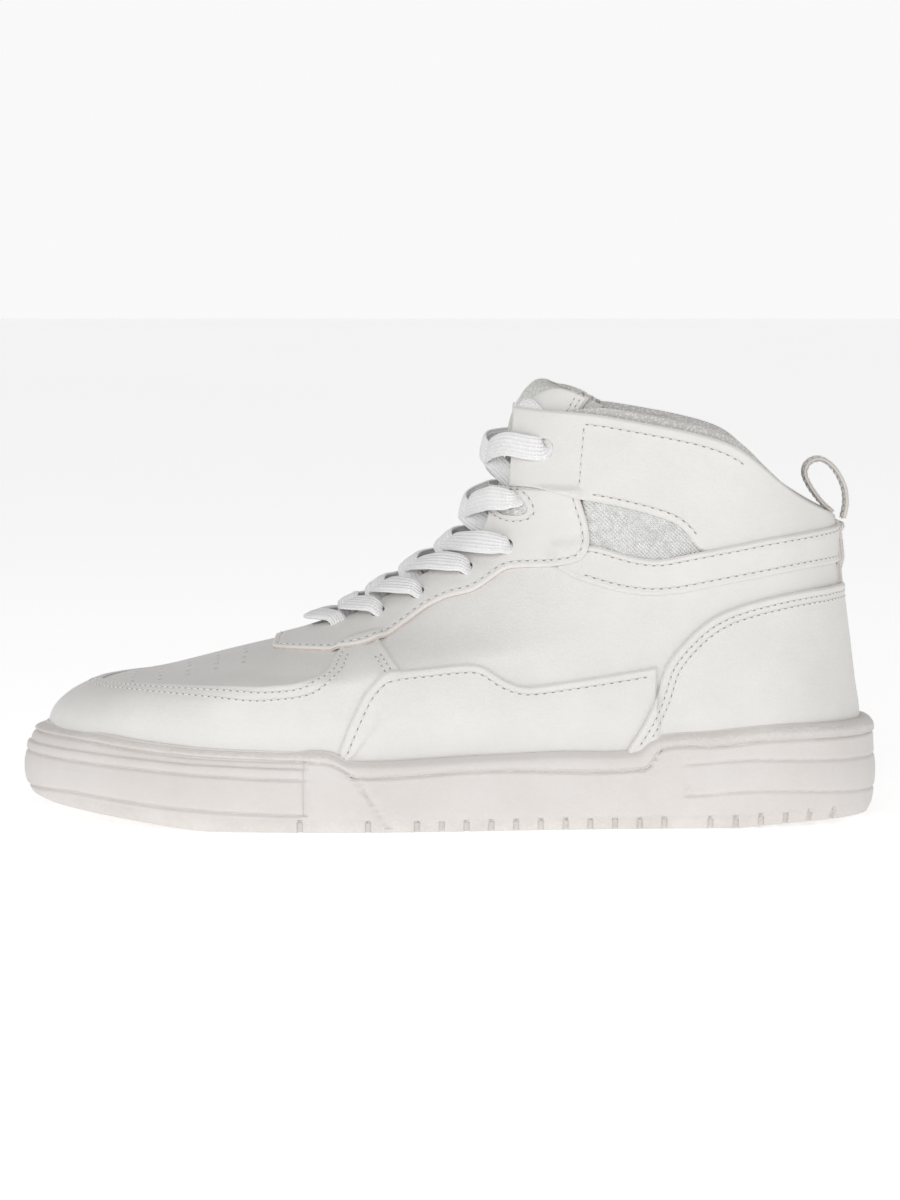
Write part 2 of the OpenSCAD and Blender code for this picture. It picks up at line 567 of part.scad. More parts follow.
// ---- Heel strip and pull loop ----
// Rows of the strip are sections across the seam
module heel_strip() {
    color([0.87, 0.85, 0.83])
        shell([for (z = [84.8, 88, 92, 96, 100, 104, 106.5]) [for (j = [-2:2])
            [3 + strip_m * j / 2, z]]], top_in, [top_in[0] + strip_t, 0]);
}
strip_m = 0.1;
// Route of the loop in the XZ plane, from the strip's top round and back to the collar
loop_route = [[141.2, 107.4], [142.2, 113], [141.2, 119.4], [137.6, 125.6], [133, 128.6],
    [128.8, 127.4], [127.2, 123.6], [129.4, 118.4], [133.6, 112.8], [137.2, 109.6]];
module pull_loop() {
    color([0.9, 0.88, 0.86])
    rotate([90, 0, 0]) translate([0, 0, -strip_w / 2]) linear_extrude(strip_w)
        polygon(concat(
            [for (i = [0:len(loop_route) - 1]) beside(loop_route, i, strip_t / 2)],
            [for (i = [len(loop_route) - 1:-1:0]) beside(loop_route, i, -strip_t / 2)]));
}
function beside(route, i, d) =
    let (a = route[max(0, i - 1)], b = route[min(len(route) - 1, i + 1)], t = unit(b - a))
    [kx * route[i][0] - d * t[1], kz * route[i][1] + d * t[0]];

// ---- Lace ----
// Waypoints [m, z, offset from the leather] from one tucked end, through all the holes, to the
// other end. A strand leaves a hole inside, crosses over the tongue and goes over the facing's
// edge into the next hole of the other side.
lace_over = 5.2;
lace_under = -5.1;
cross_low = 2.2;
cross_high = 4.4;
function hole_m(i) = smooth_at(eyelet_m, eyelet_z[i]);
function strand(i, s, cross) = let (a = hole_m(i), b = hole_m(i + 1), za = eyelet_z[i],
        zb = eyelet_z[i + 1], zc = mix(za, zb, 0.55) + 1.6)
    [[s * a, za, 4.2], [s * a, za + 0.3, -1.4], [s * (a - 0.07), mix(za, zc, 0.3), lace_under],
     [0, zc, cross], [-s * (b - 0.13), zb - 0.6, lace_over], [-s * (b - 0.03), zb - 0.1, lace_over]];
function half_lace(s) = concat([for (i = [0:4]) let (from = s * (i % 2 == 0 ? 1 : -1))
        each strand(i, from, from > 0 ? cross_low : cross_high)], lace_top(-s));
// From the last hole, behind the strap, across the tongue, over the strap and into its slot
function lace_top(s) = let (a = hole_m(5), c = s > 0 ? 0.4 : 2.8)
    [[s * a, 115.5, 4.2], [s * a, 116.2, -1.4], [s * (a - 0.06), 119.6, lace_under],
     [0, 129 + c, c - 0.6], [-s * 0.3, 134.6, 3.4], [-s * 0.43, 133.6, 3.4],
     [-s * 0.45, 134, -1.2], [-s * 0.39, 141, -1.2], [-s * 0.36, 148.4, -1.2],
     [-s * 0.41, 150.2, -1.2], [-s * 0.48, 148.6, -1.2], [-s * 0.53, 140, -1.2]];
lace_route = concat(reverse(half_lace(lateral)), [[0, 68.2, 5.4]],
    half_lace(medial));
module lace() {
    color([0.86, 0.86, 0.86]) flat_tube(lace_route, lace_w, lace_t);
}
module flat_tube(route, w, t) {
    n = len(route);
    at3 = [for (p = route) lift(p[0], p[1], [p[2], 0])];
    rings = [for (i = [0:n - 1]) let (d = unit(at3[min(n - 1, i + 1)] - at3[max(0, i - 1)]),
        face = outward(route[i][0], route[i][1]),
        w_raw = cross(face, d), u = norm(w_raw) < 0.2 ? unit(cross([0, 0, 1], d)) : unit(w_raw),
        v = cross(d, u)) [for (k = [0:7]) at3[i] + w / 2 * cos(45 * k) * u + t / 2 * sin(45 * k) * v]];
    polyhedron([for (r = rings, p = r) p], concat(
        [[for (k = [0:7]) k]], [[for (k = [7:-1:0]) (n - 1) * 8 + k]],
        [for (i = [0:n - 2], k = [0:7], h = [0, 1]) let (a = i * 8 + k, b = i * 8 + (k + 1) % 8)
            h == 0 ? [b, a, a + 8] : [b, a + 8, b + 8]]));
}
module aglets() {
    color([0.92, 0.92, 0.92]) for (s = sides)
        flat_tube([[s * 0.533, 138.6, -1.2], [s * 0.55, 127, -1.2]], 3.4, 1.5);
}

outsole();
midsole();
insole_board();
sock_liner();
heel_counter();
toe_puff();
vamp();
vamp_lining();
toe_guard();
quarter_lateral();
quarter_medial();
side_overlay_lateral();
side_overlay_medial();
heel_overlay();
eyestay();
ankle_mesh_lateral();
ankle_mesh_medial();
ankle_band_lateral();
ankle_band_medial();
collar_panel_lateral();
collar_panel_medial();
collar_foam();
collar_lining();
tongue_face();
tongue_foam();
tongue_lining();
tongue_patch();
tongue_label();
heel_strip();
pull_loop();
lace();
aglets();
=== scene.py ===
"""White basketball high top sneaker, left foot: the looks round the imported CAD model.

Lengths are worked out in millimetres in the shoe's frame (+X toe to heel, -Y lateral, +Z up)
and scaled to metres when a mesh is made. A place on the upper is (m, z): m is 0 on the front
ridge and 3 at the back seam, positive round the medial side and negative round the lateral.
"""
import bpy
import bmesh
import json
import math
import numpy as np
from mathutils import Vector
from mathutils.kdtree import KDTree
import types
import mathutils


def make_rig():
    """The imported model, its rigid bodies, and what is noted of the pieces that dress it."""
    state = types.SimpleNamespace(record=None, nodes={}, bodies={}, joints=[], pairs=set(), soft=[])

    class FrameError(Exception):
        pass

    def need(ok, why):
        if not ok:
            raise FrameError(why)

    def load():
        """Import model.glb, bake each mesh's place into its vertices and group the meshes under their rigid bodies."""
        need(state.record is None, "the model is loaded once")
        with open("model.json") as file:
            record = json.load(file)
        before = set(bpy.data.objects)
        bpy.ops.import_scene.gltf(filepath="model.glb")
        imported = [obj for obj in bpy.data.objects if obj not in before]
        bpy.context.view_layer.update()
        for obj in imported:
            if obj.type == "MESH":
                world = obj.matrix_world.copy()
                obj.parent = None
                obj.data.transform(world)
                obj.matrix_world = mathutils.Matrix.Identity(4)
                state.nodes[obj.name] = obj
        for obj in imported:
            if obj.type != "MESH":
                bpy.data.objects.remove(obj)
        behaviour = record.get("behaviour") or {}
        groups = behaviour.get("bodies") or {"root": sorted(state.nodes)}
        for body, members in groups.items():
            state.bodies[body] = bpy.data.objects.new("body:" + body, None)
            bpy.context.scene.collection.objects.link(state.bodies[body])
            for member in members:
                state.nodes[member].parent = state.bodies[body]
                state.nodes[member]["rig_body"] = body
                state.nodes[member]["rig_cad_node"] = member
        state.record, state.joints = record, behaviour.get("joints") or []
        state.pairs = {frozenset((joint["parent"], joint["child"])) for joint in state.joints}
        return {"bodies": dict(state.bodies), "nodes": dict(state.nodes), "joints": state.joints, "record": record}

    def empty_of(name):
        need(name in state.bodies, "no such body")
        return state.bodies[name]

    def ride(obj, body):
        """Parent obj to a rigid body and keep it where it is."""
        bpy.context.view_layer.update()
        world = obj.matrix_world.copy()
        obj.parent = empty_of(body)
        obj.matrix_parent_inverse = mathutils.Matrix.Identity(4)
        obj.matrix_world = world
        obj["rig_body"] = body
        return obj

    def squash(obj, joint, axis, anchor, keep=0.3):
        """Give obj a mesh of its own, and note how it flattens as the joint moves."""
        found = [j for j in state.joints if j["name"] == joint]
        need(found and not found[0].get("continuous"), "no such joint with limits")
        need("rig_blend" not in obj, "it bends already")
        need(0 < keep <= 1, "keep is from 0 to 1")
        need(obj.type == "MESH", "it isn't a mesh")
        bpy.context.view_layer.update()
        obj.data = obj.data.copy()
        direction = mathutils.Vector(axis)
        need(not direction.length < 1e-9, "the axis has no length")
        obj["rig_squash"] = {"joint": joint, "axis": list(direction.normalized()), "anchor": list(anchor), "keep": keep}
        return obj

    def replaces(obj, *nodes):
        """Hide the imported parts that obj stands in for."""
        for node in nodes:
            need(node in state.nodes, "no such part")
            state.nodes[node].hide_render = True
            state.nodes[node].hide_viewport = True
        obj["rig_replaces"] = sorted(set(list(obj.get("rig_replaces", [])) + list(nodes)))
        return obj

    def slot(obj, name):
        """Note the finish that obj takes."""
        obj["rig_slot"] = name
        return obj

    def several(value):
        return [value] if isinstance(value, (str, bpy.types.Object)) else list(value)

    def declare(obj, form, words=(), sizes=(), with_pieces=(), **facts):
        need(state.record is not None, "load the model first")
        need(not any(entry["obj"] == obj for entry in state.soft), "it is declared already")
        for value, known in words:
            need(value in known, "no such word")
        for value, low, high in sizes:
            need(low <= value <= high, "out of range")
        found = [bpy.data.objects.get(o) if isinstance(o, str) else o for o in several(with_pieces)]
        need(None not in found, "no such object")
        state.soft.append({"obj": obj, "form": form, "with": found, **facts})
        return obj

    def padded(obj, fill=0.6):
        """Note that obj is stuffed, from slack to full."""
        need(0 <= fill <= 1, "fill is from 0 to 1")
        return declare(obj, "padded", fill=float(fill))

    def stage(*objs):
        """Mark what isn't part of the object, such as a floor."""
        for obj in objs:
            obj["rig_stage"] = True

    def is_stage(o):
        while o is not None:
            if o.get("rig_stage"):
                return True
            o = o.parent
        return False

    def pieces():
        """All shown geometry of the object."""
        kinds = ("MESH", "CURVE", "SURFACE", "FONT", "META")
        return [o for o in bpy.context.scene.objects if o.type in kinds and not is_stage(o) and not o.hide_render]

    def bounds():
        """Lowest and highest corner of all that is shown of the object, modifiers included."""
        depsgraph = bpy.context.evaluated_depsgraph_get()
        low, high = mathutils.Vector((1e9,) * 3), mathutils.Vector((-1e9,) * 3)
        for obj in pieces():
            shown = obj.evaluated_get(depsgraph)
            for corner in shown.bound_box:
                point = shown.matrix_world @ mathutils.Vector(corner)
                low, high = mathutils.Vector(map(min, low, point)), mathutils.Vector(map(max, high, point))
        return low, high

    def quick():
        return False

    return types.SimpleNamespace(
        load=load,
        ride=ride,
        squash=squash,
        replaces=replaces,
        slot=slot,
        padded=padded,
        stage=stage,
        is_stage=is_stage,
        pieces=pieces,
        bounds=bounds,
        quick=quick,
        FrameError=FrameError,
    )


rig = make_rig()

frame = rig.load()
cad_low, cad_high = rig.bounds()

MM = 0.001
LATERAL, MEDIAL = -1, 1
SIDES = {"lateral": LATERAL, "medial": MEDIAL}

# ---------------------------------------------------------------- the last's surface
FRONT_X = [[12, -143], [30, -143.5], [38, -142], [44, -136], [48, -128], [51, -118], [54, -103],
           [58, -87], [62, -70], [66, -54], [71, -40], [79, -25.5], [88, -12], [97, 1],
           [106, 7.5], [118, 11], [133, 14.5], [147, 18], [155, 22.5], [163, 29], [168, 34]]
BACK_X = [[12, 146], [37, 145.8], [50, 144], [63, 142.3], [80, 140.3], [97, 138.5],
          [106, 137.3], [125, 135], [168, 133]]
FRONT_CAP = [[12, 62], [50, 62], [55, 85], [63, 100], [73, 105], [88, 100], [103, 75],
             [118, 62], [168, 60]]
BACK_CAP = 38.0
HALF_LATERAL = [[-150, 43], [-100, 47], [-70, 50], [-38, 51.5], [0, 47], [30, 43], [60, 40],
                [100, 38], [150, 37]]
HALF_MEDIAL = [[-150, 42], [-110, 46], [-65, 51.5], [-38, 49], [0, 39], [30, 34.5], [60, 35],
               [100, 37], [150, 37]]
WIDTH_SHARE = [[12, 0.96], [30, 1], [42, 1.03], [65, 0.98], [95, 0.95], [125, 0.97], [168, 1]]


def curve(table):
    """A smooth curve through the points of a table, flat beyond its ends."""
    t = np.array(table, float)
    xs, ys = t[:, 0], t[:, 1]
    last = len(xs) - 1
    rise = np.array([(ys[min(last, k + 1)] - ys[max(0, k - 1)])
                     / (xs[min(last, k + 1)] - xs[max(0, k - 1)]) for k in range(last + 1)])

    def at(x):
        x = np.clip(np.asarray(x, float), xs[0], xs[-1])
        i = np.clip(np.searchsorted(xs, x, side="right") - 1, 0, last - 1)
        h = xs[i + 1] - xs[i]
        u = (x - xs[i]) / h
        return ((2 * u**3 - 3 * u**2 + 1) * ys[i] + (u**3 - 2 * u**2 + u) * h * rise[i]
                + (3 * u**2 - 2 * u**3) * ys[i + 1] + (u**3 - u**2) * h * rise[i + 1])
    return at


front_at, back_at, cap_at = curve(FRONT_X), curve(BACK_X), curve(FRONT_CAP)
half_lateral, half_medial, share_at = curve(HALF_LATERAL), curve(HALF_MEDIAL), curve(WIDTH_SHARE)


def ease(a, b, v):
    t = np.clip((v - a) / (b - a), 0, 1)
    return t * t * (3 - 2 * t)


def place(m, z):
    """Point of the leather's outer face at (m, z)."""
    m, z = np.broadcast_arrays(np.asarray(m, float), np.asarray(z, float))
    m = np.where(m > 3, m - 6, m)
    m = np.where(m < -3, m + 6, m)
    q, side = np.abs(m), np.where(m < 0, LATERAL, MEDIAL)
    f, c, b = front_at(z), cap_at(z), back_at(z)
    x = np.where(q < 1, f + c * (1 - np.cos(q * np.pi / 2)),
                 np.where(q < 2, (f + c) + (q - 1) * (b - BACK_CAP - f - c),
                          b - BACK_CAP * (1 - np.cos((3 - q) * np.pi / 2))))
    s = np.where(q < 1, np.sin(q * np.pi / 2),
                 np.where(q < 2, 1.0, np.sin((3 - q) * np.pi / 2)))
    half = np.where(side < 0, half_lateral(x), half_medial(x)) * share_at(z)
    return np.stack([x, side * s * half, z], -1)


def outward(m, z):
    m, z = np.broadcast_arrays(np.asarray(m, float), np.asarray(z, float))
    up = place(m, z + 0.5) - place(m, z - 0.5)
    round_ = place(m + 0.008, z) - place(m - 0.008, z)
    n = np.cross(up, round_)
    return n / np.maximum(np.linalg.norm(n, axis=-1, keepdims=True), 1e-9)


def m_at(x, z, side=MEDIAL):
    """m of a place on a side from its x."""
    x, z = np.asarray(x, float), np.asarray(z, float)
    f, c, b = front_at(z), cap_at(z), back_at(z)
    q = np.where(x < f + c, np.arccos(np.clip(1 - (x - f) / c, -1, 1)) * 2 / np.pi,
                 np.where(x < b - BACK_CAP, 1 + (x - f - c) / (b - BACK_CAP - f - c),
                          3 - np.arccos(np.clip(1 - (b - x) / BACK_CAP, -1, 1)) * 2 / np.pi))
    return side * q


def m_of(p, guide):
    """m of points near the surface, counted on past the heel where the guide is."""
    x, y, z = np.moveaxis(p, -1, 0)
    f, c, b = front_at(z), cap_at(z), back_at(z)
    sine = np.abs(y) / (np.where(y < 0, half_lateral(x), half_medial(x)) * share_at(z))
    front = np.arctan2(sine, 1 - (x - f) / c) * 2 / np.pi
    back = 3 - np.arctan2(sine, 1 - (b - x) / BACK_CAP) * 2 / np.pi
    q = np.where(x < f + c, front, np.where(x < b - BACK_CAP, m_at(x, z), back))
    m = np.where(y < 0, -q, q)
    return m + 6 * np.round((guide - m) / 6)


COLLAR_PAD = 4.5


def padding(m, z):
    """Depth of the collar's padding at a place."""
    q = np.abs(np.where(m > 3, m - 6, m))
    return COLLAR_PAD * ease(60, 95, z) * ease(0.7, 1.2, q)


# ---------------------------------------------------------------- polylines
def unit(v):
    return v / np.maximum(np.linalg.norm(v, axis=-1, keepdims=True), 1e-9)


def lengths(points):
    return np.concatenate([[0], np.cumsum(np.linalg.norm(np.diff(points, axis=0), axis=1))])


def resample(points, at):
    """Points of a polyline at the given lengths along it."""
    s = lengths(points)
    return np.stack([np.interp(at, s, points[:, k]) for k in range(points.shape[1])], -1)


def resample_by(values, s, at):
    """Rows of values, known at s, read off at other places."""
    return np.stack([np.interp(at, s, values[:, k]) for k in range(values.shape[1])], -1)


def smooth_rows(rows, step):
    """Rows of control points (n, k) joined by a smooth curve and cut finely."""
    p = np.array(rows, float)
    n = len(p)
    rise = np.zeros_like(p)
    rise[1:-1] = (p[2:] - p[:-2]) / 2
    rise[0], rise[-1] = p[1] - p[0], p[-1] - p[-2]
    out = []
    for i in range(n - 1):
        for u in np.linspace(0, 1, step, endpoint=False):
            out.append((2 * u**3 - 3 * u**2 + 1) * p[i] + (u**3 - 2 * u**2 + u) * rise[i]
                       + (3 * u**2 - 2 * u**3) * p[i + 1] + (u**3 - u**2) * rise[i + 1])
    out.append(p[-1])
    return np.array(out)


EDGE_STEPS = np.array([0, 0.12, 0.35, 0.7, 1.1, 1.6, 2.2, 2.9, 3.7, 4.6])


def spaced(total, step, ends=(True, True)):
    """Distances from 0 to total, close together near a rounded end."""
    head = EDGE_STEPS[EDGE_STEPS < total / 2 - 0.3] if ends[0] else np.array([0.0])
    tail = EDGE_STEPS[EDGE_STEPS < total / 2 - 0.3] if ends[1] else np.array([0.0])
    low, high = head[-1], total - tail[-1]
    n = max(1, int(round((high - low) / step)))
    middle = np.linspace(low, high, n + 1)[1:-1]
    return np.concatenate([head, middle, (total - tail)[::-1]])


# ---------------------------------------------------------------- meshes
def make_mesh(name, points_mm, faces, materials, face_slots=None, body="shoe"):
    """A mesh object from points in millimetres, smooth shaded, riding on a body."""
    mesh = bpy.data.meshes.new(name)
    mesh.from_pydata((np.asarray(points_mm) * MM).tolist(), [], faces)
    for mat in materials:
        mesh.materials.append(mat)
    if face_slots is not None:
        mesh.polygons.foreach_set("material_index", np.asarray(face_slots, np.int32))
    mesh.polygons.foreach_set("use_smooth", np.ones(len(mesh.polygons), bool))
    mesh.update()
    obj = bpy.data.objects.new(name, mesh)
    bpy.context.scene.collection.objects.link(obj)
    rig.ride(obj, body)
    return obj


def grid_faces(rows, cols, first=0, wrap=False):
    """Quads of a grid of rows x cols vertices, row by row."""
    i = np.arange(rows - 1 if not wrap else rows)[:, None]
    j = np.arange(cols - 1)[None, :]
    a = first + i * cols + j
    b = first + ((i + 1) % rows) * cols + j
    return np.stack([a, a + 1, b + 1, b], -1).reshape(-1, 4)


def closed_grid(top, under):
    """Vertices and faces of a solid between two grids; the walls' faces come last."""
    n, c = top.shape[:2]
    count = n * c
    mid = top[n // 2, c // 2] - under[n // 2, c // 2]
    across = np.cross(top[n // 2 + 1, c // 2] - top[n // 2, c // 2],
                      top[n // 2, c // 2 + 1] - top[n // 2, c // 2])
    turned = float(np.dot(across, mid)) > 0
    ring = np.concatenate([np.arange(c), np.arange(1, n) * c + c - 1,
                           (n - 1) * c + np.arange(c - 2, -1, -1), np.arange(n - 2, 0, -1) * c])
    after = np.roll(ring, -1)
    walls = np.stack([ring, after, after + count, ring + count], -1)
    faces_top = grid_faces(n, c)
    faces_under = grid_faces(n, c, count)[:, ::-1]
    if turned:
        faces_top, faces_under, walls = (f[:, ::-1] for f in (faces_top, faces_under, walls))
    verts = np.concatenate([top.reshape(-1, 3), under.reshape(-1, 3)])
    return verts, faces_top, faces_under, walls


def nearest(points, targets):
    """Distance from each point to the nearest target."""
    tree = KDTree(len(targets))
    for i, p in enumerate(targets):
        tree.insert(p, i)
    tree.balance()
    return np.array([tree.find(p)[2] for p in points])


def dense(points, step=0.15):
    """A polyline with points closely spaced."""
    s = lengths(points)
    return resample_by(points, s, np.linspace(0, s[-1], int(s[-1] / step) + 2))


def inside_outline(outline, m, z):
    """Whether places lie inside a closed outline of places, by crossings."""
    found = np.zeros(m.shape, bool)
    for turn in (-6, 0, 6):
        mm = m + turn
        hit = np.zeros(m.shape, bool)
        for (m0, z0), (m1, z1) in zip(outline, np.roll(outline, -1, axis=0)):
            if z0 != z1:
                hit ^= ((z0 > z) != (z1 > z)) & (mm < (m1 - m0) * (z - z0) / (z1 - z0) + m0)
        found |= hit
    return found


def ripple(points, scale=0.045, seed=3.1):
    """Gentle unevenness of leather, -1 to 1, from a few crossing waves."""
    p = points * scale
    a = np.sin(p[..., 0] * 2.1 + 1.7 * np.sin(p[..., 2] * 1.9 + seed))
    b = np.sin(p[..., 2] * 3.3 + 1.3 * np.sin(p[..., 0] * 2.7 - p[..., 1] * 1.1))
    c = np.sin(p[..., 1] * 4.1 + p[..., 0] * 3.7 + 1.1 * b)
    return (a + b + c) / 3


# ---------------------------------------------------------------- rows of places
ACROSS = np.linspace(0, 1, 13)


def m_rows(pairs):
    """Rows from pairs of places [m, z, m, z]."""
    t = np.array(pairs, float)
    return np.stack([t[:, :1] + (t[:, 2:3] - t[:, :1]) * ACROSS,
                     t[:, 1:2] + (t[:, 3:] - t[:, 1:2]) * ACROSS], -1)


def side_rows(table, side):
    """Rows on one side from [lower x, lower z, upper x, upper z], straight in the side view."""
    t = np.array(table, float)
    x = t[:, :1] + (t[:, 2:3] - t[:, :1]) * ACROSS
    z = t[:, 1:2] + (t[:, 3:] - t[:, 1:2]) * ACROSS
    return np.stack([m_at(x, z, side), z], -1)


def both_sides(half):
    """Rows round the front: half of them from the ridge to the medial side, and their mirror."""
    return np.concatenate([half[::-1] * [-1, 1], half[1:]])


def round_heel(table, count, z_low, z_high):
    """Rows round the heel: medial side, back, lateral side."""
    medial, lateral = side_rows(table, MEDIAL), side_rows(table, LATERAL)
    first = medial[-1, 0, 0]
    ms = np.linspace(first, 6 - first, count + 1)[1:-1]
    back = m_rows([[m, z_low, m, z_high] for m in ms])
    return np.concatenate([medial, back, lateral[::-1] + [6, 0]])


def softened(rows, sigma, grain=0.5):
    """Rows joined by straight runs, cut finely and smoothed along: points, then their m."""
    points = place(rows[..., 0], rows[..., 1])
    flat = np.concatenate([points, rows[..., :1]], -1).reshape(len(rows), -1)
    steps = np.linalg.norm(np.diff(points, axis=0), axis=2).max(1)
    s = np.concatenate([[0], np.cumsum(steps)])
    count = int(s[-1] / grain) + 2
    fine = resample_by(flat, s, np.linspace(0, s[-1], count))
    reach = int(3 * sigma / grain)
    head = 2 * fine[:1] - fine[reach:0:-1]
    tail = 2 * fine[-1:] - fine[-2:-reach - 2:-1]
    kernel = np.exp(-(np.arange(-reach, reach + 1) * grain / sigma) ** 2 / 2)
    padded = np.concatenate([head, fine, tail])
    fine = np.stack([np.convolve(padded[:, k], kernel / kernel.sum(), "valid")
                     for k in range(flat.shape[1])], -1)
    return fine, s[-1]


class Panel:
    """A sewn panel. Its rows run from its first long edge to its second.

    over lists the panels that it lies on, seams the stitched lines as (edge, distance inside
    it): edges 0 and 1 are the long ones, 2 and 3 the ends.
    """

    def __init__(self, rows, thick=1.3, level=0.0, over=(), step=1.8, seams=(), waves=0.12,
                 soften=2.2, flare=None, soft=1.6):
        self.thick, self.level, self.over, self.seams = thick, level, over, seams
        fine, self.total = softened(rows, soften)
        at = spaced(self.total, step)
        table = resample_by(fine, np.linspace(0, self.total, len(fine)), at)
        table = table.reshape(len(at), len(ACROSS), 4)
        run = np.concatenate([np.zeros((len(at), 1)), np.cumsum(np.linalg.norm(
            np.diff(table[..., :3], axis=1), axis=2), 1)], 1)
        width = run[:, -1]
        full = float(width.max())
        cols = spaced(full, step)
        edge = min(EDGE_STEPS[-1], full / 2 - 0.3)
        squeeze = np.minimum(1, width / (2 * edge + 1.5))[:, None]
        head, tail = cols <= edge, cols >= full - edge
        body = edge * squeeze + (cols - edge) / max(full - 2 * edge, 1e-6) * (
            width[:, None] - 2 * edge * squeeze)
        from_a = np.where(head, cols * squeeze,
                          np.where(tail, width[:, None] - (full - cols) * squeeze, body))
        points = np.stack([resample_by(t, r, a) for t, r, a in zip(table, run, from_a)])
        self.m, self.z = m_of(points[..., :3], points[..., 3]), points[..., 2]
        self.base, self.normal = place(self.m, self.z), outward(self.m, self.z)
        edges = self.base[:, 0], self.base[:, -1], self.base[0], self.base[-1]
        flat = self.base.reshape(-1, 3)
        self.gaps = [nearest(flat, dense(e)).reshape(from_a.shape) for e in edges]
        self.edge_gap = np.minimum.reduce(self.gaps)
        ring = np.concatenate([np.stack([self.m[:, 0], self.z[:, 0]], -1),
                               np.stack([self.m[-1], self.z[-1]], -1)[1:],
                               np.stack([self.m[::-1, -1], self.z[::-1, -1]], -1)[1:],
                               np.stack([self.m[0, ::-1], self.z[0, ::-1]], -1)[1:-1]])
        self.outline = ring
        self.support = level + self.under_height(self.m, self.z, soft)
        top = self.support + thick * (1 - 0.55 * np.exp(-(self.edge_gap / 0.45) ** 2))
        for which, inset in seams:
            top = top - 0.22 * np.exp(-((self.gaps[which] - inset) / 0.9) ** 2)
        top = top + waves * ripple(self.base) * ease(0, 3, self.edge_gap)
        if flare is not None:
            top = top + flare(self)
        self.top = top

    def under_height(self, m, z, soft=1.6):
        """How high the panels below hold this one up at each place."""
        height = np.zeros(np.shape(m))
        for panel in self.over:
            height = np.maximum(height, panel.cover(m, z, soft))
        return height

    def cover(self, m, z, soft=1.6):
        """Height of this panel at places, easing to nothing past its edge."""
        m, z = np.broadcast_arrays(m, z)
        flat_m, flat_z = m.ravel(), z.ravel()
        near = nearest(place(flat_m, flat_z), place(self.outline[:, 0], self.outline[:, 1]))
        signed = np.where(inside_outline(self.outline, flat_m, flat_z), near, -near)
        height = self.thick + self.level + self.under_height(flat_m, flat_z)
        return (height * ease(-soft, 0.4, signed)).reshape(m.shape)

    def surface(self):
        return self.base + self.normal * self.top[..., None]

    def build(self, name, face, edge, body="shoe"):
        """The panel as a closed solid, its cut edges in their own material."""
        under = self.base + self.normal * (self.support - 0.3)[..., None]
        verts, upper, lower, walls = closed_grid(self.surface(), under)
        slots = np.repeat([0, 0, 1], [len(upper), len(lower), len(walls)])
        return make_mesh(name, verts, np.concatenate([upper, lower, walls]).tolist(),
                         [face, edge], slots, body)

    def line(self, which, inset, low=0.0, high=1.0, keep=None):
        """Points and normals of a line inside an edge, between two shares of its length."""
        points, normal, gap = self.surface(), self.normal, self.gaps[which]
        if which >= 2:
            points, normal, gap = (np.swapaxes(a, 0, 1) for a in (points, normal, gap))
        if which in (1, 3):
            gap, points, normal = gap[:, ::-1], points[:, ::-1], normal[:, ::-1]
        gap = np.maximum.accumulate(gap, 1)
        wide = gap.max(1) > inset * 1.4
        both = np.concatenate([points, normal], -1)[wide]
        line = np.stack([[np.interp(inset, g, b[:, k]) for k in range(6)]
                         for g, b in zip(gap[wide], both)])
        s = lengths(line[:, :3])
        chosen = (s >= low * s[-1]) & (s <= high * s[-1])
        if keep is not None:
            chosen &= keep(line[:, :3])
        return line[chosen, :3], unit(line[chosen, 3:])


# ---------------------------------------------------------------- materials
def linear(rgb):
    """Blender's linear colour from 0-255 sRGB."""
    c = [v / 255 for v in rgb]
    return tuple(v / 12.92 if v <= 0.04045 else ((v + 0.055) / 1.055) ** 2.4 for v in c) + (1,)


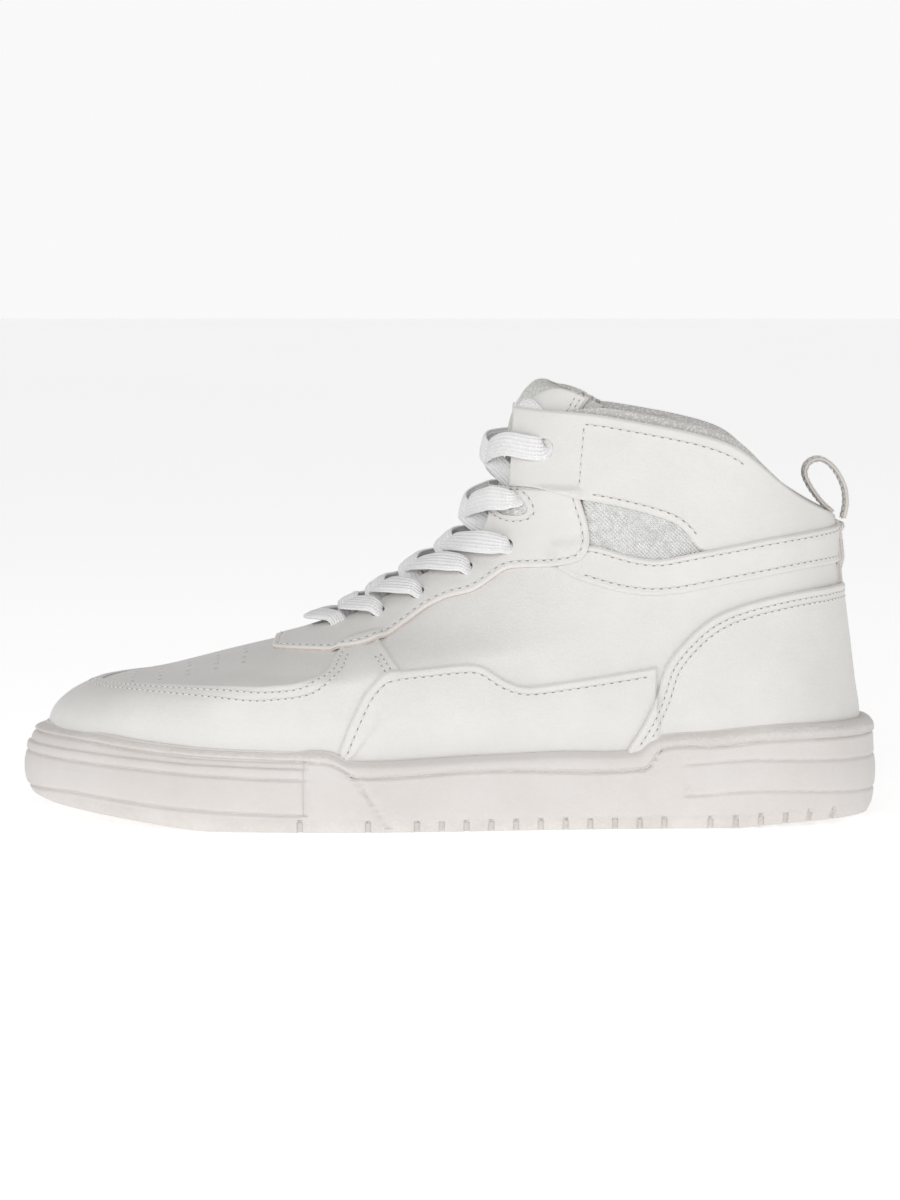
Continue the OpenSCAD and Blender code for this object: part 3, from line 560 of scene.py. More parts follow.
class Nodes:
    """Small helper that makes and links the nodes of one material."""

    def __init__(self, name, rough=0.5, sheen=0.0, specular=0.5):
        self.mat = bpy.data.materials.new(name)
        self.mat.use_nodes = True
        self.tree = self.mat.node_tree
        self.shader = self.tree.nodes["Principled BSDF"]
        self.shader.inputs["Roughness"].default_value = rough
        self.shader.inputs["Sheen Weight"].default_value = sheen
        self.shader.inputs["Specular IOR Level"].default_value = specular
        self.point = self.add("ShaderNodeTexCoord").outputs["Object"]

    def add(self, kind, **values):
        node = self.tree.nodes.new(kind)
        for key, value in values.items():
            setattr(node, key, value)
        return node

    def link(self, a, b):
        self.tree.links.new(a, b)

    def noise(self, scale, detail=3.0, rough=0.55):
        node = self.add("ShaderNodeTexNoise")
        node.inputs["Scale"].default_value = scale
        node.inputs["Detail"].default_value = detail
        node.inputs["Roughness"].default_value = rough
        self.link(self.point, node.inputs["Vector"])
        return node.outputs["Fac"]

    def cells(self, scale):
        node = self.add("ShaderNodeTexVoronoi", feature="F1")
        node.inputs["Scale"].default_value = scale
        self.link(self.point, node.inputs["Vector"])
        return node.outputs["Distance"]

    def math(self, kind, a, b=0.5, c=None):
        node = self.add("ShaderNodeMath", operation=kind)
        for socket, value in zip(node.inputs, (a, b, c)):
            if isinstance(value, (int, float)):
                socket.default_value = value
            elif value is not None:
                self.link(value, socket)
        return node.outputs[0]

    def attribute(self, name):
        return self.add("ShaderNodeAttribute", attribute_name=name).outputs["Fac"]

    def ramp(self, fac, stops):
        node = self.add("ShaderNodeValToRGB")
        while len(node.color_ramp.elements) < len(stops):
            node.color_ramp.elements.new(0.5)
        for element, (at, rgb) in zip(node.color_ramp.elements, stops):
            element.position, element.color = at, linear(rgb)
        self.link(fac, node.inputs["Fac"])
        return node.outputs["Color"]

    def colour(self, fac, stops):
        self.link(self.ramp(fac, stops), self.shader.inputs["Base Color"])

    def rough(self, fac, low, high):
        node = self.add("ShaderNodeMapRange")
        node.inputs["To Min"].default_value = low
        node.inputs["To Max"].default_value = high
        self.link(fac, node.inputs["Value"])
        self.link(node.outputs["Result"], self.shader.inputs["Roughness"])

    def bump(self, height, depth, strength=1.0):
        """Bump of a depth in millimetres."""
        node = self.add("ShaderNodeBump")
        node.inputs["Strength"].default_value = strength
        node.inputs["Distance"].default_value = depth * MM
        self.link(height, node.inputs["Height"])
        self.link(node.outputs["Normal"], self.shader.inputs["Normal"])


def leather(name, light, dark, grain=1.0):
    """Smooth tumbled leather: fine pebbles, faint creases and slight changes of tone."""
    n = Nodes(name, rough=0.46, specular=0.4)
    pebbles = n.cells(1500)
    pores = n.noise(3200, 2)
    creases = n.noise(260, 4, 0.6)
    height = n.math("MULTIPLY_ADD", creases, 0.9, n.math("MULTIPLY_ADD", pores, 0.25, pebbles))
    n.bump(height, 0.16 * grain, 0.55)
    n.colour(n.noise(42, 5, 0.6), [(0.32, dark), (0.68, light)])
    n.rough(n.noise(170, 3), 0.38, 0.56)
    return n.mat


def cut_edge(name="cut_edge", light=(222, 211, 203), dark=(202, 188, 178)):
    """Raw edge of cut leather: fibrous, pinkish beige."""
    n = Nodes(name, rough=0.85)
    n.colour(n.noise(1400, 4), [(0.3, dark), (0.7, light)])
    n.bump(n.noise(2600, 3), 0.15)
    return n.mat


def rubber():
    """Off-white cup sole rubber with a faint texture and slight changes of tone."""
    n = Nodes("sole_rubber", rough=0.5, specular=0.45)
    skin = n.cells(1250)
    fine = n.noise(2600, 2)
    n.bump(n.math("MULTIPLY_ADD", fine, 0.4, skin), 0.12, 0.6)
    n.colour(n.noise(30, 5, 0.65), [(0.3, (214, 209, 205)), (0.7, (221, 217, 214))])
    n.rough(n.noise(150, 3), 0.42, 0.6)
    return n.mat


def grained_rubber():
    """The same rubber where its mould has a leather grain: toe bead, heel and tread edge."""
    n = Nodes("sole_rubber_grained", rough=0.55, specular=0.4)
    n.bump(n.math("MULTIPLY_ADD", n.noise(900, 3), 0.8, n.cells(620)), 0.3, 0.7)
    n.colour(n.noise(60, 5, 0.65), [(0.3, (211, 206, 202)), (0.7, (221, 217, 213))])
    return n.mat


def woven(name, light, dark, pitch, depth):
    """Plain weave or knit by two crossing waves at a pitch in millimetres, its colour darker where the weave dips:
    painted shade.
    """
    n = Nodes(name, rough=0.8, sheen=0.1)
    turns = 2 * math.pi / (pitch * MM)
    split = n.add("ShaderNodeSeparateXYZ")
    n.link(n.point, split.inputs[0])
    x, y, z = split.outputs
    warp = n.math("SINE", n.math("MULTIPLY", n.math("ADD", x, n.math("MULTIPLY", y, 0.9)), turns))
    weft = n.math("SINE", n.math("MULTIPLY", n.math("ADD", z, n.math("MULTIPLY", y, 0.25)), turns))
    cloth = n.math("MULTIPLY", warp, weft)
    yarn = n.noise(2400, 2)
    height = n.math("MULTIPLY_ADD", yarn, 0.6, cloth)
    n.bump(height, depth, 0.8)
    # the weave's dips darken the colour too: painted shade between the yarns, over a random mottle
    tone_and_shade = n.math("MULTIPLY_ADD", cloth, 0.16, n.noise(500, 3, 0.6))
    n.colour(tone_and_shade, [(0.32, dark), (0.66, light)])
    return n.mat


def speckled_mesh(name, light, dark, cell, depth):
    """Open spacer mesh: light yarn round small cells darkened by painted shade, the colour following the bump's depth.
    """
    n = Nodes(name, rough=0.85, sheen=0.15)
    cell_wall = n.cells(cell)
    yarn = n.noise(2600, 3)
    tone_and_shade = n.math("MULTIPLY_ADD", yarn, 0.45, cell_wall)
    # colour and bump share one height, so the low cells get painted shade
    n.colour(tone_and_shade, [(0.38, light), (0.78, dark)])
    n.bump(n.math("MULTIPLY", tone_and_shade, -1.0), depth, 0.8)
    return n.mat


def lace_knit():
    """Flat knitted lace: rows of small chevrons along its length, from the piece's attributes, with painted shade in
    the knit's hollows.
    """
    n = Nodes("lace_knit", rough=0.82, sheen=0.2)
    along, across = n.attribute("along"), n.attribute("across")
    wale = n.math("FRACT", n.math("MULTIPLY", across, 3.5))
    slant = n.math("ABSOLUTE", n.math("SUBTRACT", wale, 0.5))
    rows = n.math("FRACT", n.math("MULTIPLY_ADD", slant, 1.1, n.math("MULTIPLY", along, 1.05)))
    stitch = n.math("SINE", n.math("MULTIPLY", rows, math.pi))
    ribs = n.math("COSINE", n.math("MULTIPLY", across, 6 * math.pi))
    height = n.math("MULTIPLY_ADD", n.noise(2400, 2), 0.35, n.math("ADD", stitch, ribs))
    n.bump(height, 0.24, 0.65)
    # the stitches and ribs that make the bump also darken the colour in their hollows: painted shade
    tone = n.math("MULTIPLY_ADD", stitch, 0.2, n.noise(700, 3))
    n.colour(n.math("MULTIPLY_ADD", ribs, 0.12, tone),
             [(0.3, (238, 238, 238)), (0.85, (250, 250, 250))])
    return n.mat


def plain(name, light, dark, rough, scale=300, depth=0.1):
    """A simple moulded or felted surface with a little unevenness."""
    n = Nodes(name, rough=rough)
    n.colour(n.noise(scale, 4), [(0.3, dark), (0.7, light)])
    n.bump(n.noise(scale * 4, 3), depth, 0.6)
    return n.mat


WHITE = leather("white_leather", (228, 226, 223), (222, 220, 217))
TRIM_WHITE = leather("white_leather_trim", (229, 227, 224), (223, 221, 218), 0.8)
EDGE = cut_edge()
PALE_EDGE = cut_edge("cut_edge_pale", (224, 219, 214), (210, 203, 197))
RUBBER = rubber()
GRAINED = grained_rubber()
MESH = woven("mesh", (244, 244, 242), (220, 220, 218), 1.4, 0.3)
TONGUE_MESH = speckled_mesh("tongue_mesh", (240, 240, 237), (208, 208, 204), 1000, 0.5)
HEM = speckled_mesh("tongue_hem", (230, 230, 227), (202, 202, 198), 1600, 0.3)
COLLAR_KNIT = speckled_mesh("collar_knit", (234, 233, 230), (202, 200, 197), 1000, 0.4)
LINER = woven("liner_textile", (192, 182, 176), (166, 155, 148), 0.9, 0.2)
FOAM = plain("foam", (226, 220, 200), (210, 203, 182), 0.9, 600, 0.3)
THREAD = plain("thread", (236, 234, 231), (218, 215, 211), 0.6, 2500, 0.08)
# Needle holes: grey dots of painted shade that stand for the shade inside each hole.
HOLE_SHADE = plain("needle_hole", (172, 168, 162), (148, 144, 138), 0.9)
LACE = lace_knit()
STRIP = woven("strip_webbing", (230, 227, 223), (214, 209, 204), 1.1, 0.2)
BOARD = plain("board", (205, 192, 170), (188, 175, 152), 0.85)
STIFFENER = plain("stiffener", (196, 192, 184), (178, 174, 166), 0.8)
AGLET = plain("aglet_plastic", (236, 236, 234), (226, 226, 224), 0.25, 200, 0.03)
LABEL = woven("label_cloth", (206, 206, 203), (186, 186, 183), 0.7, 0.1)


# ---------------------------------------------------------------- sole tables
LIP_Z = curve([[-153, 34], [-129, 33], [-111, 31], [-87, 29], [-60, 28], [-43, 28], [-35, 24.5],
               [11, 26], [39, 27], [66, 27.4], [72, 32], [90, 34], [114, 36], [153, 36]])
BED_Z = curve([[-146, 21], [-128, 17.5], [-110, 15], [-80, 13.5], [-40, 14.5], [0, 17],
               [60, 20], [100, 21], [150, 22]])
TUCK = 3.0


def tuck_z(x):
    """Lower edge of the panels that run down behind the sole's lip."""
    return float(LIP_Z(x)) - TUCK


def tuck_at(m):
    return tuck_z(place(m, 30)[0])


# ---------------------------------------------------------------- panels of the upper
VAMP_REAR = -34
VAMP_Z = [21, 27, 32, 37, 41, 44.5, 47.5, 50, 52, 54, 56, 58.4, 60.8, 63, 65.2, 67.4]
GUARD_TOP = curve([[0, 49], [0.5, 50], [1, 51.2]])
GUARD_WING = [[-82, 26, -60.5, 51.5], [-72, 25.6, -55, 52], [-62, 25, -50, 53],
              [-51, 25, -45.5, 54.6], [-42, 24, -42, 57], [-37, 24.6, -41, 60],
              [-31, 31, -39, 62.6], [-27, 38, -36, 64.4], [-23, 46, -32, 65.7],
              [-20.5, 52, -28.6, 66.5], [-17.8, 57, -25.6, 67.2]]
QUARTER = [[-33.4, -33.4, 73], [-26, -27, 76.2], [-18, -18.5, 81], [-10, -10, 86.5],
           [-2, -2, 91], [6, 5, 95.2], [13, 10, 100], [20, 13.6, 106], [27, 15.4, 112],
           [33, 17.5, 119.4], [38, 26, 119.4], [43, 35, 119.4], [47, 44, 119.4],
           [49.4, 47, 109], [51.4, 49.5, 99], [54, 52, 90], [62, 62, 90], [72, 72, 90],
           [82, 82, 90], [92, 90, 91], [102, 100, 92], [110, 107, 93], [117, 114, 94],
           [123, 120, 94.6], [128, 125, 95], [133, 129, 95.6], [137, 132.6, 96],
           [140.4, 135.6, 96.4], [144, 139.4, 96.6]]
OVERLAY_TOP = [[-39, 28.5], [-35.4, 38], [-30, 49], [-24, 55.4], [-17, 56.5], [-8, 57.3],
               [0, 58.2], [8.6, 58.8], [13, 57.4], [18, 53.4], [25, 50.4], [32, 50.8],
               [42, 52.2], [52, 53.6], [62, 55.2], [73, 57]]
BAND_LOW = curve([[38, 91.5], [44, 88], [52, 85.5], [60, 83.4], [68, 82.2], [78, 82.4],
                  [90, 84.6], [108, 88], [126, 91], [141, 92]])
BAND_HIGH = curve([[38, 99], [50, 100], [60, 97], [67, 95.2], [74, 94.6], [85, 97], [96, 99],
                   [111, 102], [126, 104], [141, 105.5]])
BAND_X = [38, 45, 52, 59, 66, 73, 80, 87, 94, 101, 108, 114, 120, 126, 131, 135, 139.6]
MESH_X = [50, 54.5, 61, 68, 75, 82, 89, 93]
COLLAR_HIGH = curve([[23, 148], [34, 147], [50, 146], [63, 144], [88, 139], [100, 135],
                     [106, 131], [115, 123], [124, 116], [138, 108.5]])
PANEL_LOW = curve([[21, 120], [31, 119.8], [46, 116], [58, 114], [72, 110.4], [80, 107.4],
                   [84, 103.5], [88, 97.4], [96, 97.4], [111, 100.4], [126, 102.4],
                   [138, 103.8]])
PANEL_X = [21.4, 25, 30, 36, 42, 48, 54, 61, 68, 75, 80, 84, 88, 94, 100, 106, 112, 118, 124,
           129, 133, 138.8]
HEEL_EDGE = [[62.5, 25, 62.6, 28.4], [66, 25, 68.6, 38], [70, 28, 72.6, 46],
             [74, 29, 75.6, 57], [79, 30, 80.4, 63.4], [85, 31, 86.4, 69.6],
             [91, 31.6, 92, 74], [98, 32, 98.6, 77.2], [106, 32.4, 106, 79.6],
             [114, 33, 113.6, 81.4], [121, 33, 120, 82.6], [127, 33, 126, 83.4],
             [132.6, 33, 131, 83.8], [137, 33, 135, 84]]
EYESTAY = [[0.06, 68, -62.6, 63], [0.1, 69.2, -63.2, 61.6], [0.125, 70.6, -57, 61.8],
           [0.145, 72.6, -48, 62], [0.155, 75.4, -39, 62.2], [0.16, 78.4, -31, 63.2],
           [0.165, 81.6, -24, 66], [0.18, 85.6, -17, 70.6], [0.2, 90, -9, 76.4],
           [0.22, 94, -1, 80.4], [0.25, 98, 8, 82.4], [0.26, 101.4, 14, 86.4],
           [0.26, 104.4, 20, 91], [0.26, 107, 29, 91.6], [0.26, 109.6, 38, 92],
           [0.26, 112, 46, 93.6], [0.26, 114.4, 49.6, 99], [0.26, 116.6, 48.8, 107],
           [0.26, 119.4, 45, 119.4]]
EYELET_Z = [69.5, 74, 81, 90, 98.5, 115.5]
eyelet_m = curve([[69, 0.15], [74, 0.265], [81, 0.3], [90, 0.36], [98, 0.43], [118, 0.43]])
EYELET_R = 2.7
WINDOW = [[17, 112], [20, 115.6], [24, 117], [27, 115], [28.4, 111.6], [26, 109.8], [20, 109.8]]
SLOT_AT, SLOT_HALF, SLOT_R = (31, 133.5), 2.6, 3.6
VENT_ROWS, VENT_FIRST, VENT_STEP = 5, -113, 10
VENT_SIDE, VENT_PITCH, VENT_R = 27, 6, 0.85

GUARD_SEAMS, GUARD_END_SEAMS, HEEL_SEAMS = (2.4, 5), (3, 5.1), (2.9, 5)
BAND_SEAM, STRIP_SEAM, TAB_SEAMS = 2.2, 1.6, (2.2, 4.2)
CUT_INWARD, CUT_OUTWARD = 4.0, 8.0
HOLE_SHARP, SOLE_SHARP = 48, 42

stitched = {}
panels = {}


def note_stitches(body, pitch, *lines):
    """Keep stitched lines, each (points, normals), for stitch_thread()."""
    stitched.setdefault(body, []).extend((pitch, points, normals) for points, normals in lines)


def make_vamp():
    q = m_at(VAMP_REAR, np.array(VAMP_Z, float), MEDIAL)
    rows = m_rows([[-k, z, k, z] for k, z in zip(q, VAMP_Z)])
    panel = Panel(rows, thick=1.2, level=-1.2, step=1.5, waves=0.16)
    piece = panel.build("vamp_leather", WHITE, EDGE)
    cut(piece, [drill(*vent, VENT_R) for vent in vent_places()])
    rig.slot(piece, "white_leather")
    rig.replaces(piece, "vamp")
    return panel


def vent_places():
    """Places and directions of the vamp's ventilation holes."""
    for row in range(VENT_ROWS):
        for y in np.arange(-VENT_SIDE, VENT_SIDE + 0.1, VENT_PITCH):
            x = VENT_FIRST + row * VENT_STEP
            zs = np.linspace(42, 68, 261)
            at = place(m_at(x, zs, np.where(y < 0, LATERAL, MEDIAL)), zs)
            inside = (x > front_at(zs)) & (np.abs(at[:, 1]) >= abs(y))
            z = zs[inside].max() if inside.any() else 50
            # the side's m gives the true height where the ridge is narrow
            m = m_at(x, z, np.sign(y) if y else MEDIAL)
            yield place(m, z), outward(m, z)


def make_guard():
    front = [[q, tuck_at(q), q, float(GUARD_TOP(q))] for q in np.arange(0, 0.9, 0.125)]
    half = np.concatenate([m_rows(front), side_rows(GUARD_WING, MEDIAL)])
    seams = [(1, d) for d in GUARD_SEAMS] + [(end, d) for end in (2, 3) for d in GUARD_END_SEAMS]
    panel = Panel(both_sides(half), step=1.9, seams=seams)
    piece = panel.build("toe_guard_leather", WHITE, PALE_EDGE)
    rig.slot(piece, "white_leather")
    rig.replaces(piece, "toe_guard")
    note_stitches("shoe", 2.5,
                  *[panel.line(1, d, keep=lambda p: p[:, 2] < 62.5) for d in GUARD_SEAMS],
                  *[panel.line(end, d, 0, 0.5) for end in (2, 3) for d in GUARD_END_SEAMS])
    return panel


def make_quarter(name, side):
    rows = side_rows([[a, float(BED_Z(a)) + 1.5, b, z] for a, b, z in QUARTER], side)
    panel = Panel(rows, thick=1.2, level=-1.2, step=2.6, waves=0.2)
    piece = panel.build(f"quarter_leather_{name}", WHITE, EDGE)
    cut(piece, eyelet_drills([side]))
    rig.slot(piece, "white_leather")
    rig.replaces(piece, f"quarter_{name}")
    return panel


def make_side_overlay(name, side):
    count = len(OVERLAY_TOP) - 1
    xs = [-36 + (73 + 36) * (i / count) ** 0.9 for i in range(count + 1)]
    rows = side_rows([[x, tuck_z(x), *top] for x, top in zip(xs, OVERLAY_TOP)], side)
    panel = Panel(rows, over=[panels["guard"]], step=2.0, seams=[(1, 3)])
    piece = panel.build(f"side_overlay_leather_{name}", WHITE, PALE_EDGE)
    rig.slot(piece, "white_leather")
    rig.replaces(piece, f"side_overlay_{name}")
    note_stitches("shoe", 3.0, panel.line(1, 3, keep=lambda p: p[:, 0] < 70))
    return panel


def band_rows(side):
    return side_rows([[x, BAND_LOW(x), x, BAND_HIGH(x)] for x in BAND_X], side)


def make_band(name, side):
    panel = Panel(band_rows(side), over=[panels[f"collar_{name}"]], step=1.7,
                  seams=[(0, BAND_SEAM), (1, BAND_SEAM)], soft=8)
    piece = panel.build(f"ankle_band_leather_{name}", WHITE, PALE_EDGE)
    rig.slot(piece, "white_leather")
    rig.replaces(piece, f"ankle_band_{name}")
    note_stitches("shoe", 3.0, *[panel.line(edge, BAND_SEAM, 0.08) for edge in (0, 1)])
    return panel


def make_mesh_insert(name, side):
    """The ankle's woven mesh, its yarns raised on a fine grid."""
    top = curve([[46, 121], [60, 119], [89, 109], [93, 104]])
    rows = side_rows([[x, 88.6, 45.6 + (x - 50) / 43 * 46, top(x)] for x in MESH_X], side)
    panel = Panel(rows, thick=1.2, level=-1.5, step=0.36, waves=0.0)
    weave(panel, 1.4, 0.3)
    piece = panel.build(f"ankle_mesh_weave_{name}", MESH, MESH)
    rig.slot(piece, "mesh")
    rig.replaces(piece, f"ankle_mesh_{name}")
    return panel


def weave(panel, pitch, depth):
    """Raises a plain weave on a panel, turned to run level."""
    p = panel.base
    a = np.sin(2 * np.pi * p[..., 0] / pitch)
    b = np.sin(2 * np.pi * p[..., 2] / pitch)
    panel.top = panel.top + depth * a * b


def make_eyestay():
    half = np.concatenate([m_rows([[0, 67.6, 0, 64]]), m_rows(
        [[m, z, float(m_at(x, zo, MEDIAL)), zo] for m, z, x, zo in EYESTAY])])
    probes = [Panel(band_rows(side), step=3) for side in SIDES.values()]
    over = [panels["guard"], panels["overlay_lateral"], panels["overlay_medial"], *probes]
    panel = Panel(both_sides(half), thick=1.4, level=0.2, over=over, step=1.5, seams=[(1, 2.2)],
                  waves=0.1, soft=3.5)
    piece = panel.build("eyestay_leather", TRIM_WHITE, EDGE)
    windows = [prism(rounded(WINDOW), side) for side in SIDES.values()]
    cut(piece, eyelet_drills(SIDES.values(), EYELET_Z[:-1]) + windows)
    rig.slot(piece, "white_leather")
    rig.replaces(piece, "eyestay")
    note_stitches("shoe", 3.0, panel.line(1, 2.2))
    for side in SIDES.values():
        note_stitches("shoe", 3.0, ring_line(WINDOW, side, 2.0))
        window_mesh(side)
    return panel


def make_collar_panel(name, side):
    rows = side_rows([[x, PANEL_LOW(x), max(x, 23.2), COLLAR_HIGH(x)] for x in PANEL_X], side)
    panel = Panel(rows, over=[panels["eyestay"]], step=1.8, waves=0.16)
    piece = panel.build(f"collar_panel_leather_{name}", WHITE, PALE_EDGE)
    cut(piece, [slot_cutter(side)])
    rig.slot(piece, "white_leather")
    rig.replaces(piece, f"collar_panel_{name}")
    lower = panel.line(0, 2.5, keep=lambda p: (p[:, 0] > 49) & (p[:, 0] < 87))
    upper = panel.line(1, 3.8, keep=lambda p: (p[:, 0] > 47.5) & (p[:, 0] < 104))
    zs = np.linspace(141.5, 118.5, 20)
    ms = m_at(47.5 - (141.5 - zs) * 0.085, zs, side)
    down = place(ms, zs) + outward(ms, zs) * 1.3, outward(ms, zs)
    note_stitches("shoe", 3.0, lower, upper, down)
    return panel


def make_heel_strip():
    rows = m_rows([[2.9, z, 3.1, z] for z in (80, 84.8, 90, 96, 102, 106.9)])
    over = [panels["band_lateral"], panels["band_medial"]]
    panel = Panel(rows, thick=1.3, level=0.2, over=over, step=1.2, waves=0.1)
    piece = panel.build("heel_strip_webbing", STRIP, PALE_EDGE)
    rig.slot(piece, "white_leather")
    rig.replaces(piece, "heel_strip")
    note_stitches("shoe", 2.2, *[panel.line(edge, STRIP_SEAM, 0.3) for edge in (0, 1)])
    return panel


def make_heel_overlay():
    rows = round_heel(HEEL_EDGE, 8, 33, 84.2)
    over = [panels["overlay_lateral"], panels["overlay_medial"]]

    def corner_flare(panel):
        return 0.5 * np.exp(-((panel.gaps[1]) / 3) ** 2) * ease(120, 140, panel.base[..., 0])

    panel = Panel(rows, thick=1.6, level=0.2, over=over, step=2.0,
                  seams=[(1, d) for d in HEEL_SEAMS], waves=0.2, flare=corner_flare)
    piece = panel.build("heel_overlay_leather", WHITE, EDGE)
    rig.slot(piece, "white_leather")
    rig.replaces(piece, "heel_overlay")
    note_stitches("shoe", 2.6,
                  *[panel.line(1, d, keep=lambda p: p[:, 2] > 29) for d in HEEL_SEAMS])
    return panel


# ---------------------------------------------------------------- holes
def prism_mesh(loop_low, loop_high, bm):
    """A closed prism between two loops of points in millimetres."""
    low = [bm.verts.new(Vector(p) * MM) for p in loop_low]
    high = [bm.verts.new(Vector(p) * MM) for p in loop_high]
    bm.faces.new(low[::-1])
    bm.faces.new(high)
    for i, (a, b) in enumerate(zip(low, low[1:] + low[:1])):
        j = (i + 1) % len(low)
        bm.faces.new([a, b, high[j], high[i]])


def drill(centre, direction, radius, reach=6.0):
    """Loops of a round cutter along a direction."""
    n = Vector(direction).normalized()
    u = n.orthogonal().normalized()
    v = n.cross(u)
    turn = [2 * math.pi * k / 20 for k in range(20)]
    ring = [radius * (math.cos(t) * u + math.sin(t) * v) for t in turn]
    c = Vector(centre)
    return [c - n * reach + r for r in ring], [c + n * reach + r for r in ring]


def eyelet_drills(sides, heights=None):
    places = [(s * float(eyelet_m(z)), z) for s in sides for z in heights or EYELET_Z]
    return [drill(place(m, z), outward(m, z), EYELET_R, 8) for m, z in places]


def rounded(loop, steps=4):
    """A closed outline made smooth."""
    p = np.array(loop + loop[:3], float)
    return smooth_rows(p, steps)[steps:steps * (len(loop) + 1)]


def prism(xz, side):
    """Cutter loops of an outline of (x, z) points, through the side."""
    m = m_at(xz[:, 0], xz[:, 1], side)
    p, n = place(m, xz[:, 1]), outward(m.mean(), xz[:, 1].mean())
    loops = [p - n * CUT_INWARD, p + n * CUT_OUTWARD]
    area = np.cross(np.roll(p, -1, 0) - p.mean(0), p - p.mean(0)).sum(0) @ n
    return [loop[::-1] for loop in loops] if area > 0 else loops


def slot_cutter(side):
    """Cutter loops of the strap's slot: a long hole with round ends."""
    x, z = SLOT_AT
    turns = np.linspace(0, 2 * np.pi, 28, endpoint=False)
    loop = [(x + SLOT_R * math.cos(t) + SLOT_HALF * (1 if math.cos(t) > 0 else -1),
             z + SLOT_R * math.sin(t)) for t in turns]
    return prism(np.array(loop), side)


def cut(piece, cutters):
    """Takes the cutters, pairs of loops, out of a piece with one exact Boolean."""
    bm = bmesh.new()
    for low, high in cutters:
        prism_mesh(low, high, bm)
    bmesh.ops.recalc_face_normals(bm, faces=bm.faces[:])
    mesh = bpy.data.meshes.new("cutter")
    bm.to_mesh(mesh)
    bm.free()
    tool = bpy.data.objects.new("cutter", mesh)
    bpy.context.scene.collection.objects.link(tool)
    mod = piece.modifiers.new("holes", "BOOLEAN")
    mod.operation, mod.solver, mod.object = "DIFFERENCE", "EXACT", tool
    apply_modifiers(piece)
    bpy.data.objects.remove(tool)
    bpy.data.meshes.remove(mesh)
    reshade(piece, HOLE_SHARP, orient=False)


def apply_modifiers(piece):
    """Makes the evaluated mesh the piece's own."""
    graph = bpy.context.evaluated_depsgraph_get()
    made = bpy.data.meshes.new_from_object(piece.evaluated_get(graph), depsgraph=graph)
    piece.modifiers.clear()
    old = piece.data
    piece.data = made
    bpy.data.meshes.remove(old)


def reshade(piece, degrees=None, orient=True):
    """Turns all faces outward, and marks edges sharp that bend by more than a given angle."""
    bm = bmesh.new()
    bm.from_mesh(piece.data)
    if orient:
        bmesh.ops.recalc_face_normals(bm, faces=bm.faces[:])
    for edge in bm.edges if degrees else ():
        if len(edge.link_faces) == 2 and edge.calc_face_angle(0) > math.radians(degrees):
            edge.smooth = False
    bm.to_mesh(piece.data)
    bm.free()


def ring_line(loop, side, gap):
    """A stitched line round an outline of (x, z) points, a gap outside it."""
    xz = rounded(loop, 6)
    centre = xz.mean(0)
    away = xz - centre
    xz = xz + away / np.linalg.norm(away, axis=1)[:, None] * gap
    xz = np.concatenate([xz, xz[:1]])
    m = m_at(xz[:, 0], xz[:, 1], side)
    return (place(m, xz[:, 1]) + outward(m, xz[:, 1]) * 1.62, outward(m, xz[:, 1]))


def window_mesh(side):
    """Woven mesh behind the facing's window."""
    xs = np.array([c[0] for c in WINDOW])
    zs = np.array([c[1] for c in WINDOW])
    rows = side_rows([[x, zs.min() - 3, x, zs.max() + 3]
                      for x in np.linspace(xs.min() - 3, xs.max() + 3, 5)], side)
    panel = Panel(rows, thick=0.5, level=0.1, step=0.36, waves=0.0)
    weave(panel, 1.4, 0.22)
    piece = panel.build("window_mesh_" + ("lateral" if side < 0 else "medial"), MESH, MESH)
    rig.slot(piece, "mesh")


# ---------------------------------------------------------------- stitches
def capsule(length, width, height, rings=6, sides=6, bow=0.0):
    """A closed stitch along X: a rounded thread that dips at both ends."""
    verts, faces = [(-length / 2, 0, -bow)], []
    for i in range(1, rings):
        t = i / rings
        x = -length / 2 * math.cos(math.pi * t)
        r = math.sin(math.pi * t) ** 0.5
        lift = bow * (math.sin(math.pi * t) - 1)
        for k in range(sides):
            a = 2 * math.pi * k / sides
            verts.append((x, width / 2 * r * math.cos(a), height / 2 * r * math.sin(a) + lift))
    verts.append((length / 2, 0, -bow))
    last = len(verts) - 1
    for k in range(sides):
        n = (k + 1) % sides
        faces.append((0, 1 + n, 1 + k))
        faces.append((last, last - sides + k, last - sides + n))
    for i in range(rings - 2):
        for k in range(sides):
            a, b = 1 + i * sides + k, 1 + i * sides + (k + 1) % sides
            faces.append((a, b, b + sides, a + sides))
    return np.array(verts), faces


def strewn(template, centres, along, normals):
    """One mesh from a template at many frames."""
    verts, faces = template
    side = unit(np.cross(normals, along))
    normals = unit(np.cross(along, side))
    frames = np.stack([along, side, normals], 1)
    points = centres[:, None, :] + np.einsum("vk,nkj->nvj", verts, frames)
    count = len(verts)
    everything = [tuple(v + i * count for v in f) for i in range(len(centres)) for f in faces]
    return points.reshape(-1, 3), everything


THREAD_SIZE, THREAD_BOW, THREAD_LIFT = (1.95, 0.72, 0.62), 0.2, 0.1
SHADE_DOT_SIZE, SHADE_DOT_LIFT = (1.25, 0.5, 0.3), 0.02
TWIST_SIZE, TWIST_PITCH = (1.5, 0.62, 0.62), 0.85


